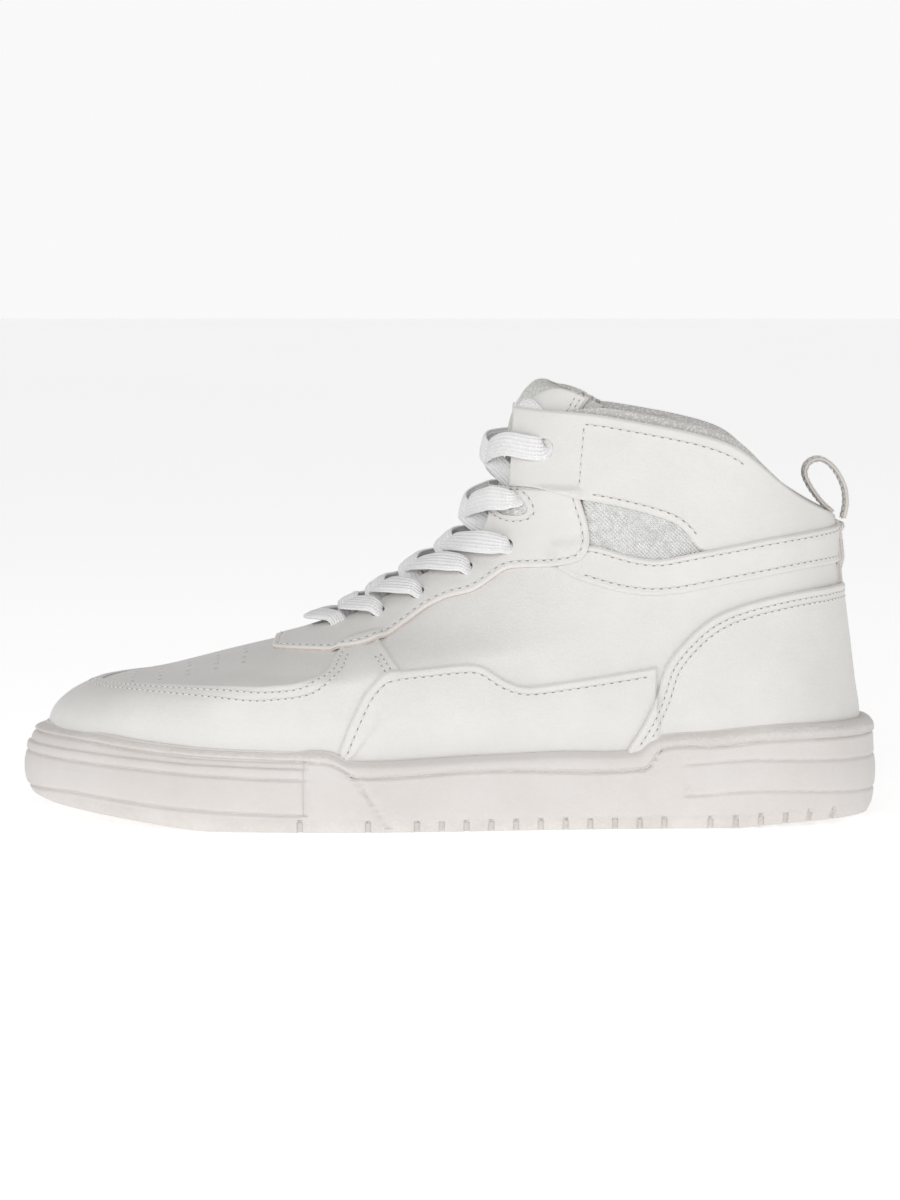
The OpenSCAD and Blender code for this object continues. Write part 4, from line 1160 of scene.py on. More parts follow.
def stitch_thread(body):
    """All stitches of a body: threads, and a grey dot of painted shade for the needle hole at each end of one."""
    centres, alongs, normals, holes, hole_along, hole_normals = [], [], [], [], [], []
    for pitch, points, faces_out in stitched[body]:
        s = lengths(points)
        count = int(s[-1] / pitch)
        if count < 1:
            continue
        both = np.concatenate([points, faces_out], 1)
        ends = resample_by(both, s, np.arange(count + 1) * pitch + (s[-1] - count * pitch) / 2)
        a, b = ends[:-1], ends[1:]
        centres.append((a[:, :3] + b[:, :3]) / 2)
        alongs.append(unit(b[:, :3] - a[:, :3]))
        normals.append(unit(a[:, 3:] + b[:, 3:]))
        holes.append(ends[:, :3])
        hole_along.append(unit(np.gradient(ends[:, :3], axis=0)))
        hole_normals.append(unit(ends[:, 3:]))
    centres, alongs, normals = map(np.concatenate, (centres, alongs, normals))
    threads = strewn(capsule(*THREAD_SIZE, bow=THREAD_BOW), centres + normals * THREAD_LIFT,
                     alongs, normals)
    piece = make_mesh(f"stitches_{body}", *threads, [THREAD], body=body)
    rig.slot(piece, "lace_knit")
    holes, hole_along, hole_normals = map(np.concatenate, (holes, hole_along, hole_normals))
    # grey dots of painted shade stand for the needle holes
    shade_dots = strewn(capsule(*SHADE_DOT_SIZE, rings=4), holes + hole_normals * SHADE_DOT_LIFT, hole_along,
                  hole_normals)
    piece = make_mesh(f"needle_holes_{body}", *shade_dots, [HOLE_SHADE], body=body)
    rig.slot(piece, "lace_knit")


# ---------------------------------------------------------------- sole
SOLE_LATERAL = curve([[-153, 46], [-100, 52], [-70, 54.8], [-38, 56], [0, 52], [30, 47.6],
                      [60, 44.6], [100, 43], [153, 42]])
SOLE_MEDIAL = curve([[-153, 46], [-110, 51], [-65, 56], [-38, 53.8], [0, 44.4], [30, 39.6],
                     [60, 39.8], [100, 42], [153, 42]])
SOLE_FRONT_CAP, SOLE_BACK_CAP = 66, 42
SOLE_UNDER = curve([[-153, 9.5], [-142, 7], [-126, 4.8], [-111, 3], [-97, 1.2], [-84, 0],
                    [100, 0], [115, 1.2], [130, 2], [153, 2.4]])
WALL_LEAN = curve([[0, 2.4], [0.12, 0.7], [0.35, 0], [0.75, 0.4], [0.93, 1.1], [1, 2.2]])
BEAD_LINE = curve([[-153, 31.2], [-147, 31], [-129, 30], [-111, 28], [-87, 26], [-60, 25],
                   [-44, 24.4], [-38, 22.4], [-33, 19], [11, 21], [69, 21], [75, 28], [95, 29],
                   [114, 31], [153, 31]])
TOE_CREASE = curve([[-153, 27.6], [-131, 26.6], [-113, 25.4], [-88, 23.6], [-52, 22.3]])
TOE_GROOVE = curve([[-153, 24.1], [-131, 22.9], [-113, 21.8], [-88, 20], [-60, 18.7],
                    [-51, 18.7]])
TOE_FOOT = curve([[-153, 11.7], [-136, 12.1], [-122, 10.8], [-104, 8.9], [-81, 7.1], [-59, 6.2],
                  [-51, 6.2]])
HEEL_TOP = curve([[83, 22.8], [107.7, 24.4], [153, 22.9]])
HEEL_FOOT = curve([[84.6, 11.7], [113.6, 13.4], [153, 11]])
NOTCHES = ([-52.6, -28.7] + [-11.6 + 8.72 * k for k in range(11)]
           + [91.9 + 8.94 * k for k in range(6)])
NOTCH_W, NOTCH_H = 2.0, 4.6


def sole_stations():
    """m of the stations round the sole, 0 to 6, closer at the tread's notches."""
    q = np.concatenate([np.linspace(0, 1, 76), np.linspace(1, 2, 134)[1:],
                        np.linspace(2, 3, 48)[1:]])
    x = sole_x(q)
    extra = [n + side * (NOTCH_W / 2 + d) for n in NOTCHES for side in (-1, 1)
             for d in (0.08, -0.08)]
    more = np.interp(extra, x, q)
    q = np.unique(np.round(np.concatenate([q, more]), 5))
    return np.concatenate([q, 6 - q[-2:0:-1]])


def sole_x(q):
    first, last = -153 + SOLE_FRONT_CAP, 153 - SOLE_BACK_CAP
    return np.where(q < 1, -153 + SOLE_FRONT_CAP * (1 - np.cos(q * np.pi / 2)),
                    np.where(q < 2, first + (q - 1) * (last - first),
                             153 - SOLE_BACK_CAP * (1 - np.cos((3 - q) * np.pi / 2))))


def sole_frame(m):
    """Station data: q, side, x, half width and the outward direction's shares."""
    q = np.where(m > 3, 6 - m, m)
    side = np.where(m > 3, LATERAL, MEDIAL)
    x = sole_x(q)
    c = np.where(q < 1, np.cos(q * np.pi / 2), np.where(q < 2, 0, -np.cos((3 - q) * np.pi / 2)))
    s = np.where(q < 1, np.sin(q * np.pi / 2), np.where(q < 2, 1, np.sin((3 - q) * np.pi / 2)))
    half = np.where(side < 0, SOLE_LATERAL(x), SOLE_MEDIAL(x))
    return q, side, x, half, c, s


def groove(d, width, depth):
    return -depth * np.exp(-(d / width) ** 2)


# where the toe's bands end, the top and steepness of the slanted line behind them, and where
# the heel's raised block begins
TOE_END = -51.0
SLANT_X, SLANT_Z, SLANT_RISE, SLANT_RUN, SLANT_STRETCH = -33.0, 19.0, 17, 11, 1.84
HEEL_BLOCK, HEEL_BLOCK_Z, HEEL_BLOCK_LEAN = 83.0, 22.8, 0.144


def wall_relief(x, z, high):
    """Height of the moulded relief on the sidewall, in millimetres outward."""
    line = BEAD_LINE(x)
    relief = groove(z - line, 0.45, 0.85)
    # the lip's bead is round and stands a little proud of the wall
    share = np.clip((z - line) / np.maximum(high - line, 1), 0, 1)
    relief = relief + 0.75 * np.sin(np.pi * share) ** 0.6 * (z > line)
    toe = ease(TOE_END + 2, TOE_END - 2, x)
    relief = relief - toe * 1.1 * ease(-0.3, 0.3, z - TOE_CREASE(x)) * (z < line + 4)
    for level, depth, width in ((TOE_CREASE(x), 0.25, 0.9), (TOE_GROOVE(x), 0.75, 0.45),
                                (TOE_FOOT(x), 0.9, 0.5)):
        relief = relief + toe * groove(z - level, width, depth)
    # the toe's bands swell between their grooves
    for top, foot, swell in ((line, TOE_GROOVE(x), 0.35), (TOE_GROOVE(x), TOE_FOOT(x), 0.45)):
        share = np.clip((z - foot) / np.maximum(top - foot, 1), 0, 1)
        relief = relief + toe * swell * np.sin(np.pi * share)
    upright = (z < line + 0.3) & (z > TOE_FOOT(x) - 0.4)
    relief = relief + groove(x - TOE_END, 0.6, 1.0) * upright
    # a slanted line leaves the bead behind the toe
    slant = (x - SLANT_X) * SLANT_RISE / SLANT_RUN - (SLANT_Z - z)
    relief = relief + groove(slant / SLANT_STRETCH, 0.55, 0.9) * (z < 19.5) * (z > 1.5)
    heel = ease(HEEL_BLOCK - 0.8, HEEL_BLOCK + 0.8, x)
    for level in (HEEL_TOP(x), HEEL_FOOT(x)):
        relief = relief + heel * groove(z - level, 0.5, 0.65)
    inside = (z < HEEL_TOP(x)) & (z > HEEL_FOOT(x))
    front = x - HEEL_BLOCK - (HEEL_BLOCK_Z - z) * HEEL_BLOCK_LEAN
    relief = relief + groove(front, 0.5, 0.65) * inside
    share = np.clip((z - HEEL_FOOT(x)) / (HEEL_TOP(x) - HEEL_FOOT(x)), 0, 1)
    relief = relief + 0.35 * heel * np.sin(np.pi * share) * ease(88, 100, x)
    return relief


def notch_at(x, z, low):
    """1 inside the tread's notches at the lower edge."""
    near = np.min(np.abs(x[..., None] - np.array(NOTCHES)), axis=-1)
    top = low + NOTCH_H - 1.2 * (near / (NOTCH_W / 2)) ** 2
    return (near < NOTCH_W / 2) & (z < top)


def make_sole():
    m = sole_stations()
    side, x, half, c, s = (v[:, None] for v in sole_frame(m)[1:])
    low, high = SOLE_UNDER(x), LIP_Z(x)
    share = np.concatenate([np.linspace(0, 0.16, 10), np.linspace(0.16, 0.9, 62)[1:],
                            np.linspace(0.9, 1, 16)[1:]])[None, :]
    z = low + (high - low) * share
    lean = WALL_LEAN(share) * (1 + 1.9 * ease(-118, -146, x) * (z > 20))
    relief = wall_relief(x, z, high)
    wide = np.broadcast_to(x, z.shape)
    cut_in = notch_at(wide, z, low)
    lean = lean - relief + 1.4 * cut_in
    wall = np.stack([x + lean * c, side * s * (half - lean), z + 0 * x], -1)
    top = round_lip(m, wall[:, -1], high[:, 0])
    inner = inner_wall(m, high[:, 0])
    rows = np.concatenate([wall, top, inner], 1)
    verts, faces, slots = rows.reshape(-1, 3), [], []
    count, cols = rows.shape[:2]
    ring = grid_faces(count, cols, wrap=True)
    faces.extend(ring.tolist())
    grained = grained_faces(wide, z, cols, count)
    slots.extend(grained)
    ground, ground_faces = bridged(rows[:, 0], len(verts), cols, 0, 44,
                                   lambda p, share: p[:, 2] + tread_depth(p))
    floor_faces = strips(count, cols, cols - 1, flip=True)
    verts = np.concatenate([verts, ground])
    slots.extend([1] * len(ground_faces) + [0] * len(floor_faces))
    faces.extend(ground_faces + floor_faces)
    piece = make_mesh("sole", verts, faces, [RUBBER, GRAINED], slots)
    reshade(piece, SOLE_SHARP)
    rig.slot(piece, "sole_rubber")
    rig.replaces(piece, "outsole")
    bead_stitch(m)


def round_lip(m, edge, high):
    """Loops that roll the lip's top over towards the upper."""
    inner = upper_beside(m, high, 0.9)
    loops = []
    for t in (0.12, 0.3, 0.5, 0.7, 0.88, 1.0):
        p = edge + (inner - edge) * t
        p[:, 2] = edge[:, 2] + 0.75 * math.sin(math.pi * min(t, 0.93)) ** 0.6 - 0.3 * t
        loops.append(p)
    return np.stack(loops, 1)


def upper_beside(m, z, depth):
    return place(m, z) + outward(m, z) * depth


def inner_wall(m, high):
    """Inside of the cup, down to its floor."""
    x = sole_frame(m)[2]
    floor = np.maximum(SOLE_UNDER(x) + 5, 8)
    return np.stack([upper_beside(m, high - 5, -0.1), upper_beside(m, floor, 0.3)], 1)


def grained_faces(x, z, cols, count):
    """Material slot of each wall face: 1 where the mould is grained."""
    wall_cols = z.shape[1]
    slot = np.zeros((count, cols - 1), int)
    zc, xc = z[:, :wall_cols - 1], x[:, :wall_cols - 1]
    tread = zc < SOLE_UNDER(xc) + 4.7
    bead = (zc > BEAD_LINE(xc)) & ((xc < -40) | (xc > 74))
    slot[:, :wall_cols - 1] = tread | bead
    return slot.ravel().tolist()


def strips(count, cols, col, flip=False):
    """Quads across the sole between opposite stations of one loop."""
    half = count // 2
    faces = []
    for k in range(half):
        quad = [k * cols + col, ((count - k) % count) * cols + col,
                (count - k - 1) * cols + col, (k + 1) * cols + col]
        quad = list(dict.fromkeys(quad))
        if len(quad) > 2:
            faces.append(quad if flip else quad[::-1])
    return faces


def bridged(loop, first, cols, col, across, height, flip=False):
    """Rows of points between opposite stations of a loop, at the heights a function gives."""
    count = len(loop)
    half = count // 2
    verts, faces, rows = [], [], []
    for k in range(half + 1):
        a, b = loop[k], loop[(count - k) % count]
        ids = [k * cols + col]
        if k not in (0, half):
            share = np.linspace(0, 1, across + 1)[1:-1]
            p = a + (b - a) * share[:, None]
            p[:, 2] = height(p, share)
            ids.extend(first + len(verts) + i for i in range(len(p)))
            verts.extend(p)
            ids.append(((count - k) % count) * cols + col)
        rows.append(ids)
    for low, high in zip(rows[:-1], rows[1:]):
        if len(low) == 1:
            faces.extend([low[0], high[i], high[i + 1]] for i in range(len(high) - 1))
        elif len(high) == 1:
            faces.extend([high[0], low[i + 1], low[i]] for i in range(len(low) - 1))
        else:
            faces.extend([low[i], high[i], high[i + 1], low[i + 1]] for i in range(len(low) - 1))
    return np.array(verts), [[f[0], *f[:0:-1]] for f in faces] if flip else faces


def tread_depth(p):
    """How far the tread goes up from the ground, in notches, long grooves and a herringbone."""
    x, y = p[:, 0], p[:, 1]
    near = np.min(np.abs(x[:, None] - np.array(NOTCHES)), axis=1)
    rim = ease(0, 2.5, 46 - np.abs(y) - 4 * np.abs(x) / 153)
    cross = 2.4 * (near < NOTCH_W / 2)
    long_ = 2.0 * (np.abs(np.abs(y) - 18) < 1.6) * (np.abs(x + 10) < 96)
    herring = 0.9 * (np.mod(x * 0.8 + np.abs(y) * 0.5, 5) < 1.4)
    return np.maximum(np.maximum(cross, long_), herring) * rim


def bead_stitch(m):
    """The twisted row moulded along the foot of the lip's bead, from the toe piece to the heel."""
    q, side, x, half, c, s = sole_frame(m)
    centres, alongs, normals = [], [], []
    for which in SIDES.values():
        chosen = (side == which) & (x > -37)
        order = np.argsort(q[chosen])
        xs, hs, cs, ss = (v[chosen][order] for v in (x, half, c, s))
        z = BEAD_LINE(xs) + 0.95
        share = (z - SOLE_UNDER(xs)) / (LIP_Z(xs) - SOLE_UNDER(xs))
        lean = WALL_LEAN(share) - 0.35
        path = np.stack([xs + lean * cs, which * ss * (hs - lean), z], -1)
        length = lengths(path)
        points = resample(path, np.arange(0, length[-1], TWIST_PITCH))
        way = unit(np.gradient(points, axis=0))
        out = unit(np.cross(way, [0, 0, 1.0]) * -which)
        slanted = unit(way + np.array([0, 0, 0.9]))
        centres.append(points)
        alongs.append(slanted)
        normals.append(out)
    threads = capsule(*TWIST_SIZE, rings=4)
    piece = make_mesh("sole_bead_twist", *strewn(threads, *map(np.concatenate, (
        centres, alongs, normals))), [RUBBER])
    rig.slot(piece, "sole_rubber")


# ---------------------------------------------------------------- lining, collar and footbed
LINING_DEPTH = -3.9
COLLAR_FOOT, COLLAR_RISE = 92.0, 2.9
COLLAR_OUTER, COLLAR_INNER = -1.5, -2.4
KNIT_EDGE = 7
COLLAR_SPAN, COLLAR_FRONT = (23, 137.5), (33, 146)


def collar_top(m):
    """Height of the collar's leather edge at a place round the ankle."""
    q = np.abs(np.where(m > 3, m - 6, m))
    xs = np.linspace(*COLLAR_SPAN, 90)
    ms = np.array([float(m_at(x, COLLAR_HIGH(x), MEDIAL)) for x in xs])
    return np.interp(q, ms, COLLAR_HIGH(xs))


def make_collar():
    """The padded collar: a knit roll that rises over the leather's edge and lines the ankle."""
    first = float(m_at(*COLLAR_FRONT, MEDIAL))
    ms = np.linspace(first, 6 - first, 230)
    top = collar_top(ms)
    q = np.abs(np.where(ms > 3, ms - 6, ms))
    rise = COLLAR_RISE * ease(first, first + 0.3, q)
    turns = np.linspace(0, 2 * np.pi, 45)[:-1]
    rings = []
    for m, z_top, up in zip(ms, top, rise):
        pad = padding(m, 120.0) * 1.05 + 1.4
        outer, inner = COLLAR_OUTER, COLLAR_INNER - pad
        mid, half = (outer + inner) / 2, (outer - inner) / 2
        depth = mid + half * np.sign(np.cos(turns)) * np.abs(np.cos(turns)) ** 0.75
        share = (1 + np.sign(np.sin(turns)) * np.abs(np.sin(turns)) ** 0.38) / 2
        z = COLLAR_FOOT + (z_top + up - COLLAR_FOOT) * share
        swell = 0.9 * np.sin(np.pi * share) * (np.cos(turns) < 0)
        rings.append(place(m, z) + outward(m, z) * (depth - swell)[:, None])
    rings = np.stack(rings)
    piece = tube_mesh("collar_padding", rings, [COLLAR_KNIT, LINER])
    paint_inside(piece, rings, top)
    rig.slot(piece, "liner_textile")
    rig.replaces(piece, "collar_foam")
    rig.padded(piece, fill=0.7)


def paint_inside(piece, rings, top):
    """Gives the collar the beige lining's material below its knit edge."""
    count, cols = rings.shape[:2]
    slots = np.zeros(len(piece.data.polygons), np.int32)
    below = rings[:, :, 2] < (top - KNIT_EDGE)[:, None]
    quads = below[:-1] & below[1:]
    slots[:(count - 1) * cols] = quads.reshape(-1)
    piece.data.polygons.foreach_set("material_index", slots)


def tube_mesh(name, rings, materials, body="shoe"):
    """A closed mesh from rings of points, its ends filled."""
    count, cols = rings.shape[:2]
    faces = []
    for i in range(count - 1):
        a = i * cols + np.arange(cols)
        b = a + cols
        faces.extend(np.stack([a, np.roll(a, -1), np.roll(b, -1), b], -1).tolist())
    faces.append(list(range(cols))[::-1])
    faces.append([(count - 1) * cols + k for k in range(cols)])
    piece = make_mesh(name, rings.reshape(-1, 3), faces, materials, body=body)
    reshade(piece)
    return piece


def make_lining():
    """Textile lining from the footbed up behind the collar's padding."""
    table = [[a, float(BED_Z(a)) + 1.5, b + 6, z] for a, b, z in QUARTER if a < 33]
    table += [[a, float(BED_Z(a)) + 1.5, b, z] for a, b, z in (
        [36, 22, 121], [40, 22.6, 130], [44, 23.4, 140], [48, 25.6, 147])]
    table += [[x + (x - 80) / 8 * (x < 80), float(BED_Z(x)) + 1.5,
               x if x >= 72 else 34 + 38 * (x - 56) / 16, COLLAR_HIGH(x) - 6]
              for x in (56, 64, 72, 80, 88, 96, 104, 111, 118, 124, 129, 132)]
    rows = round_heel(table, 7, 22, 101)
    panel = Panel(rows, thick=0.9, level=LINING_DEPTH, step=2.6, waves=0.0)
    panel.top = panel.top - padding(panel.m, panel.z)
    panel.support = panel.support - padding(panel.m, panel.z)
    piece = panel.build("lining_textile", LINER, LINER)
    cut(piece, [drill(place(m, z), outward(m, z), 6.5, 9) for m, z in
                [(s * float(eyelet_m(z)), z) for s in SIDES.values() for z in EYELET_Z]])
    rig.slot(piece, "liner_textile")
    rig.replaces(piece, "collar_lining")


def make_sock_liner():
    """The removable footbed: a soft sheet that cups up a little round its rim."""
    m = np.linspace(0, 6, 181)[:-1]
    x = sole_frame(m)[2]
    low = BED_Z(x) + 2.3
    inset = -5.4
    loops = []
    for z_up, more in ((0.0, 0.5), (1.2, 0.0), (2.6, 0.0), (3.6, 0.35), (4.1, 1.2), (4.2, 2.6)):
        z = low + z_up
        loops.append(place(m, z) + outward(m, z) * (inset - more))
    rows = np.stack(loops, 1)
    rows[..., 2] = np.maximum(rows[..., 2], 0)
    verts = rows.reshape(-1, 3)
    count, cols = rows.shape[:2]
    faces = grid_faces(count, cols, wrap=True).tolist() + strips(count, cols, 0)
    top, top_faces = bridged(rows[:, -1], len(verts), cols, cols - 1, 30, footbed_top, flip=True)
    verts = np.concatenate([verts, top])
    piece = make_mesh("sock_liner_textile", verts, faces + top_faces, [LINER], body="footbed")
    reshade(piece, SOLE_SHARP)
    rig.slot(piece, "liner_textile")
    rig.replaces(piece, "sock_liner")


def footbed_top(p, share):
    """Height of the footbed's top, dished a little under the heel."""
    dish = 0.9 * np.sin(np.pi * share) * ease(40, 90, p[:, 0])
    return p[:, 2] - dish + 0.15 * ripple(p, 0.12)


# ---------------------------------------------------------------- cloth
def puff(piece, cap_mm, voxel, pressure, steps=20):
    """Swells a padded piece by cloth simulation, capped, and smooths it once."""
    slots = [s.material for s in piece.material_slots]
    work = piece.copy()
    work.data = piece.data.copy()
    bpy.context.scene.collection.objects.link(work)
    mod = work.modifiers.new("remesh", "REMESH")
    mod.mode, mod.voxel_size = "VOXEL", voxel * MM
    apply_modifiers(work)
    before = points_of(work)
    cloth = work.modifiers.new("cloth", "CLOTH")
    cloth.settings.use_pressure = True
    cloth.settings.uniform_pressure_force = pressure
    cloth.settings.quality = 5
    cloth.settings.tension_stiffness = 20
    cloth.settings.effector_weights.gravity = 0
    cloth.point_cache.frame_start, cloth.point_cache.frame_end = 1, steps
    scene = bpy.context.scene
    for step in range(1, steps + 1):
        scene.frame_set(step)
    graph = bpy.context.evaluated_depsgraph_get()
    after = points_of(work.evaluated_get(graph))
    work.modifiers.clear()
    scene.frame_set(1)
    moved = after - before
    size = np.linalg.norm(moved, axis=1, keepdims=True)
    moved = moved * np.minimum(1, cap_mm * MM / np.maximum(size, 1e-9))
    work.data.vertices.foreach_set("co", (before + moved).ravel())
    work.data.update()
    sub = work.modifiers.new("smooth", "SUBSURF")
    sub.levels = sub.render_levels = 1
    apply_modifiers(work)
    old = piece.data
    piece.data = work.data
    bpy.data.objects.remove(work)
    bpy.data.meshes.remove(old)
    piece.data.materials.clear()
    for mat in slots:
        piece.data.materials.append(mat)
    piece.data.polygons.foreach_set("use_smooth", np.ones(len(piece.data.polygons), bool))


def points_of(obj):
    co = np.empty(len(obj.data.vertices) * 3)
    obj.data.vertices.foreach_get("co", co)
    return co.reshape(-1, 3)


# ---------------------------------------------------------------- tongue
TONGUE_OUT = -6.5
TONGUE_DEEP = 6.6
TONGUE_LOW, TONGUE_HIGH = 70.0, 162.6
tongue_half = curve([[68, 0.18], [74, 0.32], [84, 0.45], [100, 0.56], [120, 0.6], [145, 0.66],
                     [165, 0.72]])


def tongue_thins(t, z):
    """Shares of the tongue's thickness left near its sides and near its top."""
    roll = 1 - np.clip((z - (TONGUE_HIGH - 6)) / 6, 0, 1) ** 3 * 0.6
    return (1 - 0.94 * np.abs(t) ** 7) ** 0.5, roll


def tongue_front(t, z):
    """Depth of the tongue's front face, fuller above the lacing."""
    full = 2.0 * ease(122, 146, z) * (1 - 0.7 * t * t)
    side, roll = tongue_thins(t, z)
    return TONGUE_OUT - TONGUE_DEEP / 2 + (TONGUE_DEEP / 2 + full) * side * roll


def tongue_back(t, z):
    side, roll = tongue_thins(t, z)
    return TONGUE_OUT - TONGUE_DEEP / 2 - TONGUE_DEEP / 2 * side * roll


def tongue_place(t, z):
    """m and z of a point of the tongue: t is its share across; the corners drop."""
    return t * tongue_half(z), z - 12.5 * ease(120, TONGUE_HIGH, z) * np.abs(t) ** 1.9


def make_tongue():
    ts = np.sin(np.linspace(-1, 1, 75) * np.pi / 2)
    zs = np.concatenate([np.linspace(TONGUE_LOW, TONGUE_HIGH - 5, 80),
                         TONGUE_HIGH - 5 + 5 * np.sin(np.linspace(0, 1, 12)[1:] * np.pi / 2)])
    t, z = np.meshgrid(ts, zs)
    m, zz = tongue_place(t, z)
    base, normal = place(m, zz), outward(m, zz)
    wrinkle = 0.25 * ripple(base, 0.16) * ease(0.02, 0.2, 1 - np.abs(t))
    hem = -0.35 * np.exp(-((z - (TONGUE_HIGH - 5)) / 0.9) ** 2)
    front = base + normal * (tongue_front(t, z) + wrinkle + hem)[..., None]
    back = base + normal * (tongue_back(t, z) - 0.2)[..., None]
    verts, upper, lower, walls = closed_grid(front, back)
    faces = np.concatenate([upper, lower, walls])
    piece = make_mesh("tongue_padded", verts, faces.tolist(),
                      [TONGUE_MESH, HEM, LINER], body="tongue")
    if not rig.quick():
        puff(piece, cap_mm=0.9, voxel=1.6, pressure=4.0)
    tongue_slots(piece)
    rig.slot(piece, "tongue_mesh")
    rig.replaces(piece, "tongue_face", "tongue_foam", "tongue_lining")
    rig.padded(piece, fill=0.6)


def tongue_slots(piece):
    """Hem at the tongue's top edge, textile on its back."""
    mesh = piece.data
    centres = np.empty(len(mesh.polygons) * 3)
    facing = np.empty(len(mesh.polygons) * 3)
    mesh.polygons.foreach_get("center", centres)
    mesh.polygons.foreach_get("normal", facing)
    centres, facing = centres.reshape(-1, 3) / MM, facing.reshape(-1, 3)
    across = np.abs(centres[:, 1]) / 38
    top = TONGUE_HIGH - 5 - 12 * across ** 1.9
    slots = np.where(centres[:, 2] > top, 1, 0)
    slots = np.where((facing[:, 0] > 0.6) & (slots == 0), 2, slots)
    mesh.polygons.foreach_set("material_index", slots.astype(np.int32))


def on_tongue(panel, lift):
    """Lays a panel on the tongue's front face."""
    depth = tongue_front(panel.m / tongue_half(panel.z), panel.z) + lift
    panel.top = panel.top + depth
    panel.support = panel.support + depth


def make_tongue_tabs():
    for name, side in SIDES.items():
        rows = m_rows([[side * m, low, side * (m + 0.02), high] for m, low, high in (
            (0.27, 139, 151.6), (0.30, 139, 154.2), (0.36, 139, 156.4), (0.42, 138.8, 156.6),
            (0.49, 138.4, 155.6), (0.56, 138, 154), (0.6, 137.6, 152.8))])
        panel = Panel(rows, thick=2.4, step=1.2, seams=[(3, d) for d in TAB_SEAMS],
                      waves=0.2)
        on_tongue(panel, 0.2)
        piece = panel.build(f"tongue_tab_leather_{name}", WHITE, PALE_EDGE, body="tongue")
        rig.slot(piece, "white_leather")
        if side == LATERAL:
            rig.replaces(piece, "tongue_patch")
        note_stitches("tongue", 2.4, *[panel.line(3, d) for d in TAB_SEAMS])


def make_label():
    """The woven label on the tongue, left blank."""
    rows = m_rows([[m, 115, m, 123] for m in np.linspace(-0.2, 0.2, 5)])
    panel = Panel(rows, thick=0.6, step=1.5, waves=0.05)
    on_tongue(panel, 0.1)
    piece = panel.build("tongue_label_blank", LABEL, LABEL, body="tongue")
    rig.slot(piece, "tongue_mesh")
    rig.replaces(piece, "tongue_label")


# ---------------------------------------------------------------- lace
LACE_OVER, LACE_UNDER, CROSS_LOW, CROSS_HIGH = 5.0, -5.1, 2.2, 4.4
LACE_W, LACE_T = 8.6, 1.9
HOLE_W, HOLE_T = 6.2, 2.6


def strand(i, s, cross):
    """Waypoints [m, z, offset, in a hole] from one hole to the next on the other side."""
    a, b = float(eyelet_m(EYELET_Z[i])), float(eyelet_m(EYELET_Z[i + 1]))
    za, zb = EYELET_Z[i], EYELET_Z[i + 1]
    zc = za + (zb - za) * 0.55 + 1.6
    return [[s * a, za, 3.6, 1], [s * a, za + 0.3, -1.4, 1],
            [s * (a - 0.07), za + (zc - za) * 0.3, LACE_UNDER, 0.3], [0, zc, cross, 0],
            [-s * (b - 0.14), zb - 0.8, LACE_OVER, 0], [-s * (b - 0.03), zb - 0.2, LACE_OVER, 0.4]]


def lace_top(s):
    a = float(eyelet_m(EYELET_Z[5]))
    c = 0.4 if s > 0 else 2.8
    return [[s * a, 115.5, 3.6, 1], [s * a, 116.2, -1.4, 1], [s * (a - 0.06), 119.6, LACE_UNDER, 0],
            [0, 129 + c, c - 0.6, 0], [-s * 0.3, 134.2, 3.4, 0], [-s * 0.46, 133.6, 2.8, 0],
            [-s * 0.52, 133.8, -1.0, 0.3], [-s * 0.38, 139, -1.6, 0.6], [-s * 0.3, 145, -1.5, 1],
            [-s * 0.32, 148.4, -1.2, 1], [-s * 0.4, 146.4, -1.5, 1], [-s * 0.53, 138.0, -1.2, 1]]


def half_lace(s):
    points = []
    for i in range(5):
        start = s if i % 2 == 0 else -s
        points += strand(i, start, CROSS_LOW if start > 0 else CROSS_HIGH)
    return points + lace_top(-s)


def make_lace():
    way = np.array(half_lace(LATERAL)[::-1] + [[0, 68.2, 5.2, 0]] + half_lace(MEDIAL))
    points = place(way[:, 0], way[:, 1]) + outward(way[:, 0], way[:, 1]) * way[:, 2:3]
    table = np.concatenate([points, outward(way[:, 0], way[:, 1]), way[:, 3:]], 1)
    fine = smooth_rows(table, 24)
    s = lengths(fine[:, :3])
    at = np.arange(0, s[-1], 0.8)
    fine = np.stack([np.interp(at, s, fine[:, k]) for k in range(7)], -1)
    centre, face, tight = fine[:, :3], unit(fine[:, 3:6]), ease(0, 1, fine[:, 6])
    way_on = unit(np.gradient(centre, axis=0))
    across = np.cross(face, way_on)
    for i in range(1, len(across)):
        if across[i] @ across[i - 1] < 0:
            across[i] *= -1
    kernel = np.exp(-(np.arange(-14, 15) / 5.0) ** 2)
    padded = np.concatenate([np.repeat(across[:1], 14, 0), across, np.repeat(across[-1:], 14, 0)])
    across = np.stack([np.convolve(padded[:, k], kernel, "valid") for k in range(3)], -1)
    across = unit(across - (across * way_on).sum(1, keepdims=True) * way_on)
    up = np.cross(way_on, across)
    turns = np.linspace(0, 2 * np.pi, 25)[:-1]
    wide = (LACE_W + (HOLE_W - LACE_W) * tight) / 2
    thick = (LACE_T + (HOLE_T - LACE_T) * tight) / 2
    u = np.sign(np.cos(turns)) * np.abs(np.cos(turns)) ** 0.7
    v = np.sign(np.sin(turns)) * np.abs(np.sin(turns)) ** 0.8
    ribs = 0.09 * np.sin(turns * 8)[None, :] * np.abs(np.sin(turns))
    rings = (centre[:, None] + across[:, None] * (wide[:, None] * u)[..., None]
             + up[:, None] * (thick[:, None] * v + ribs)[..., None])
    piece = tube_mesh("lace_flat_knit", rings, [LACE])
    for name, values in (("along", np.repeat(at, len(turns))),
                         ("across", np.tile(u, len(rings)))):
        data = piece.data.attributes.new(name, "FLOAT", "POINT")
        data.data.foreach_set("value", values.astype(np.float32))
    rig.slot(piece, "lace_knit")
    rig.replaces(piece, "lace")


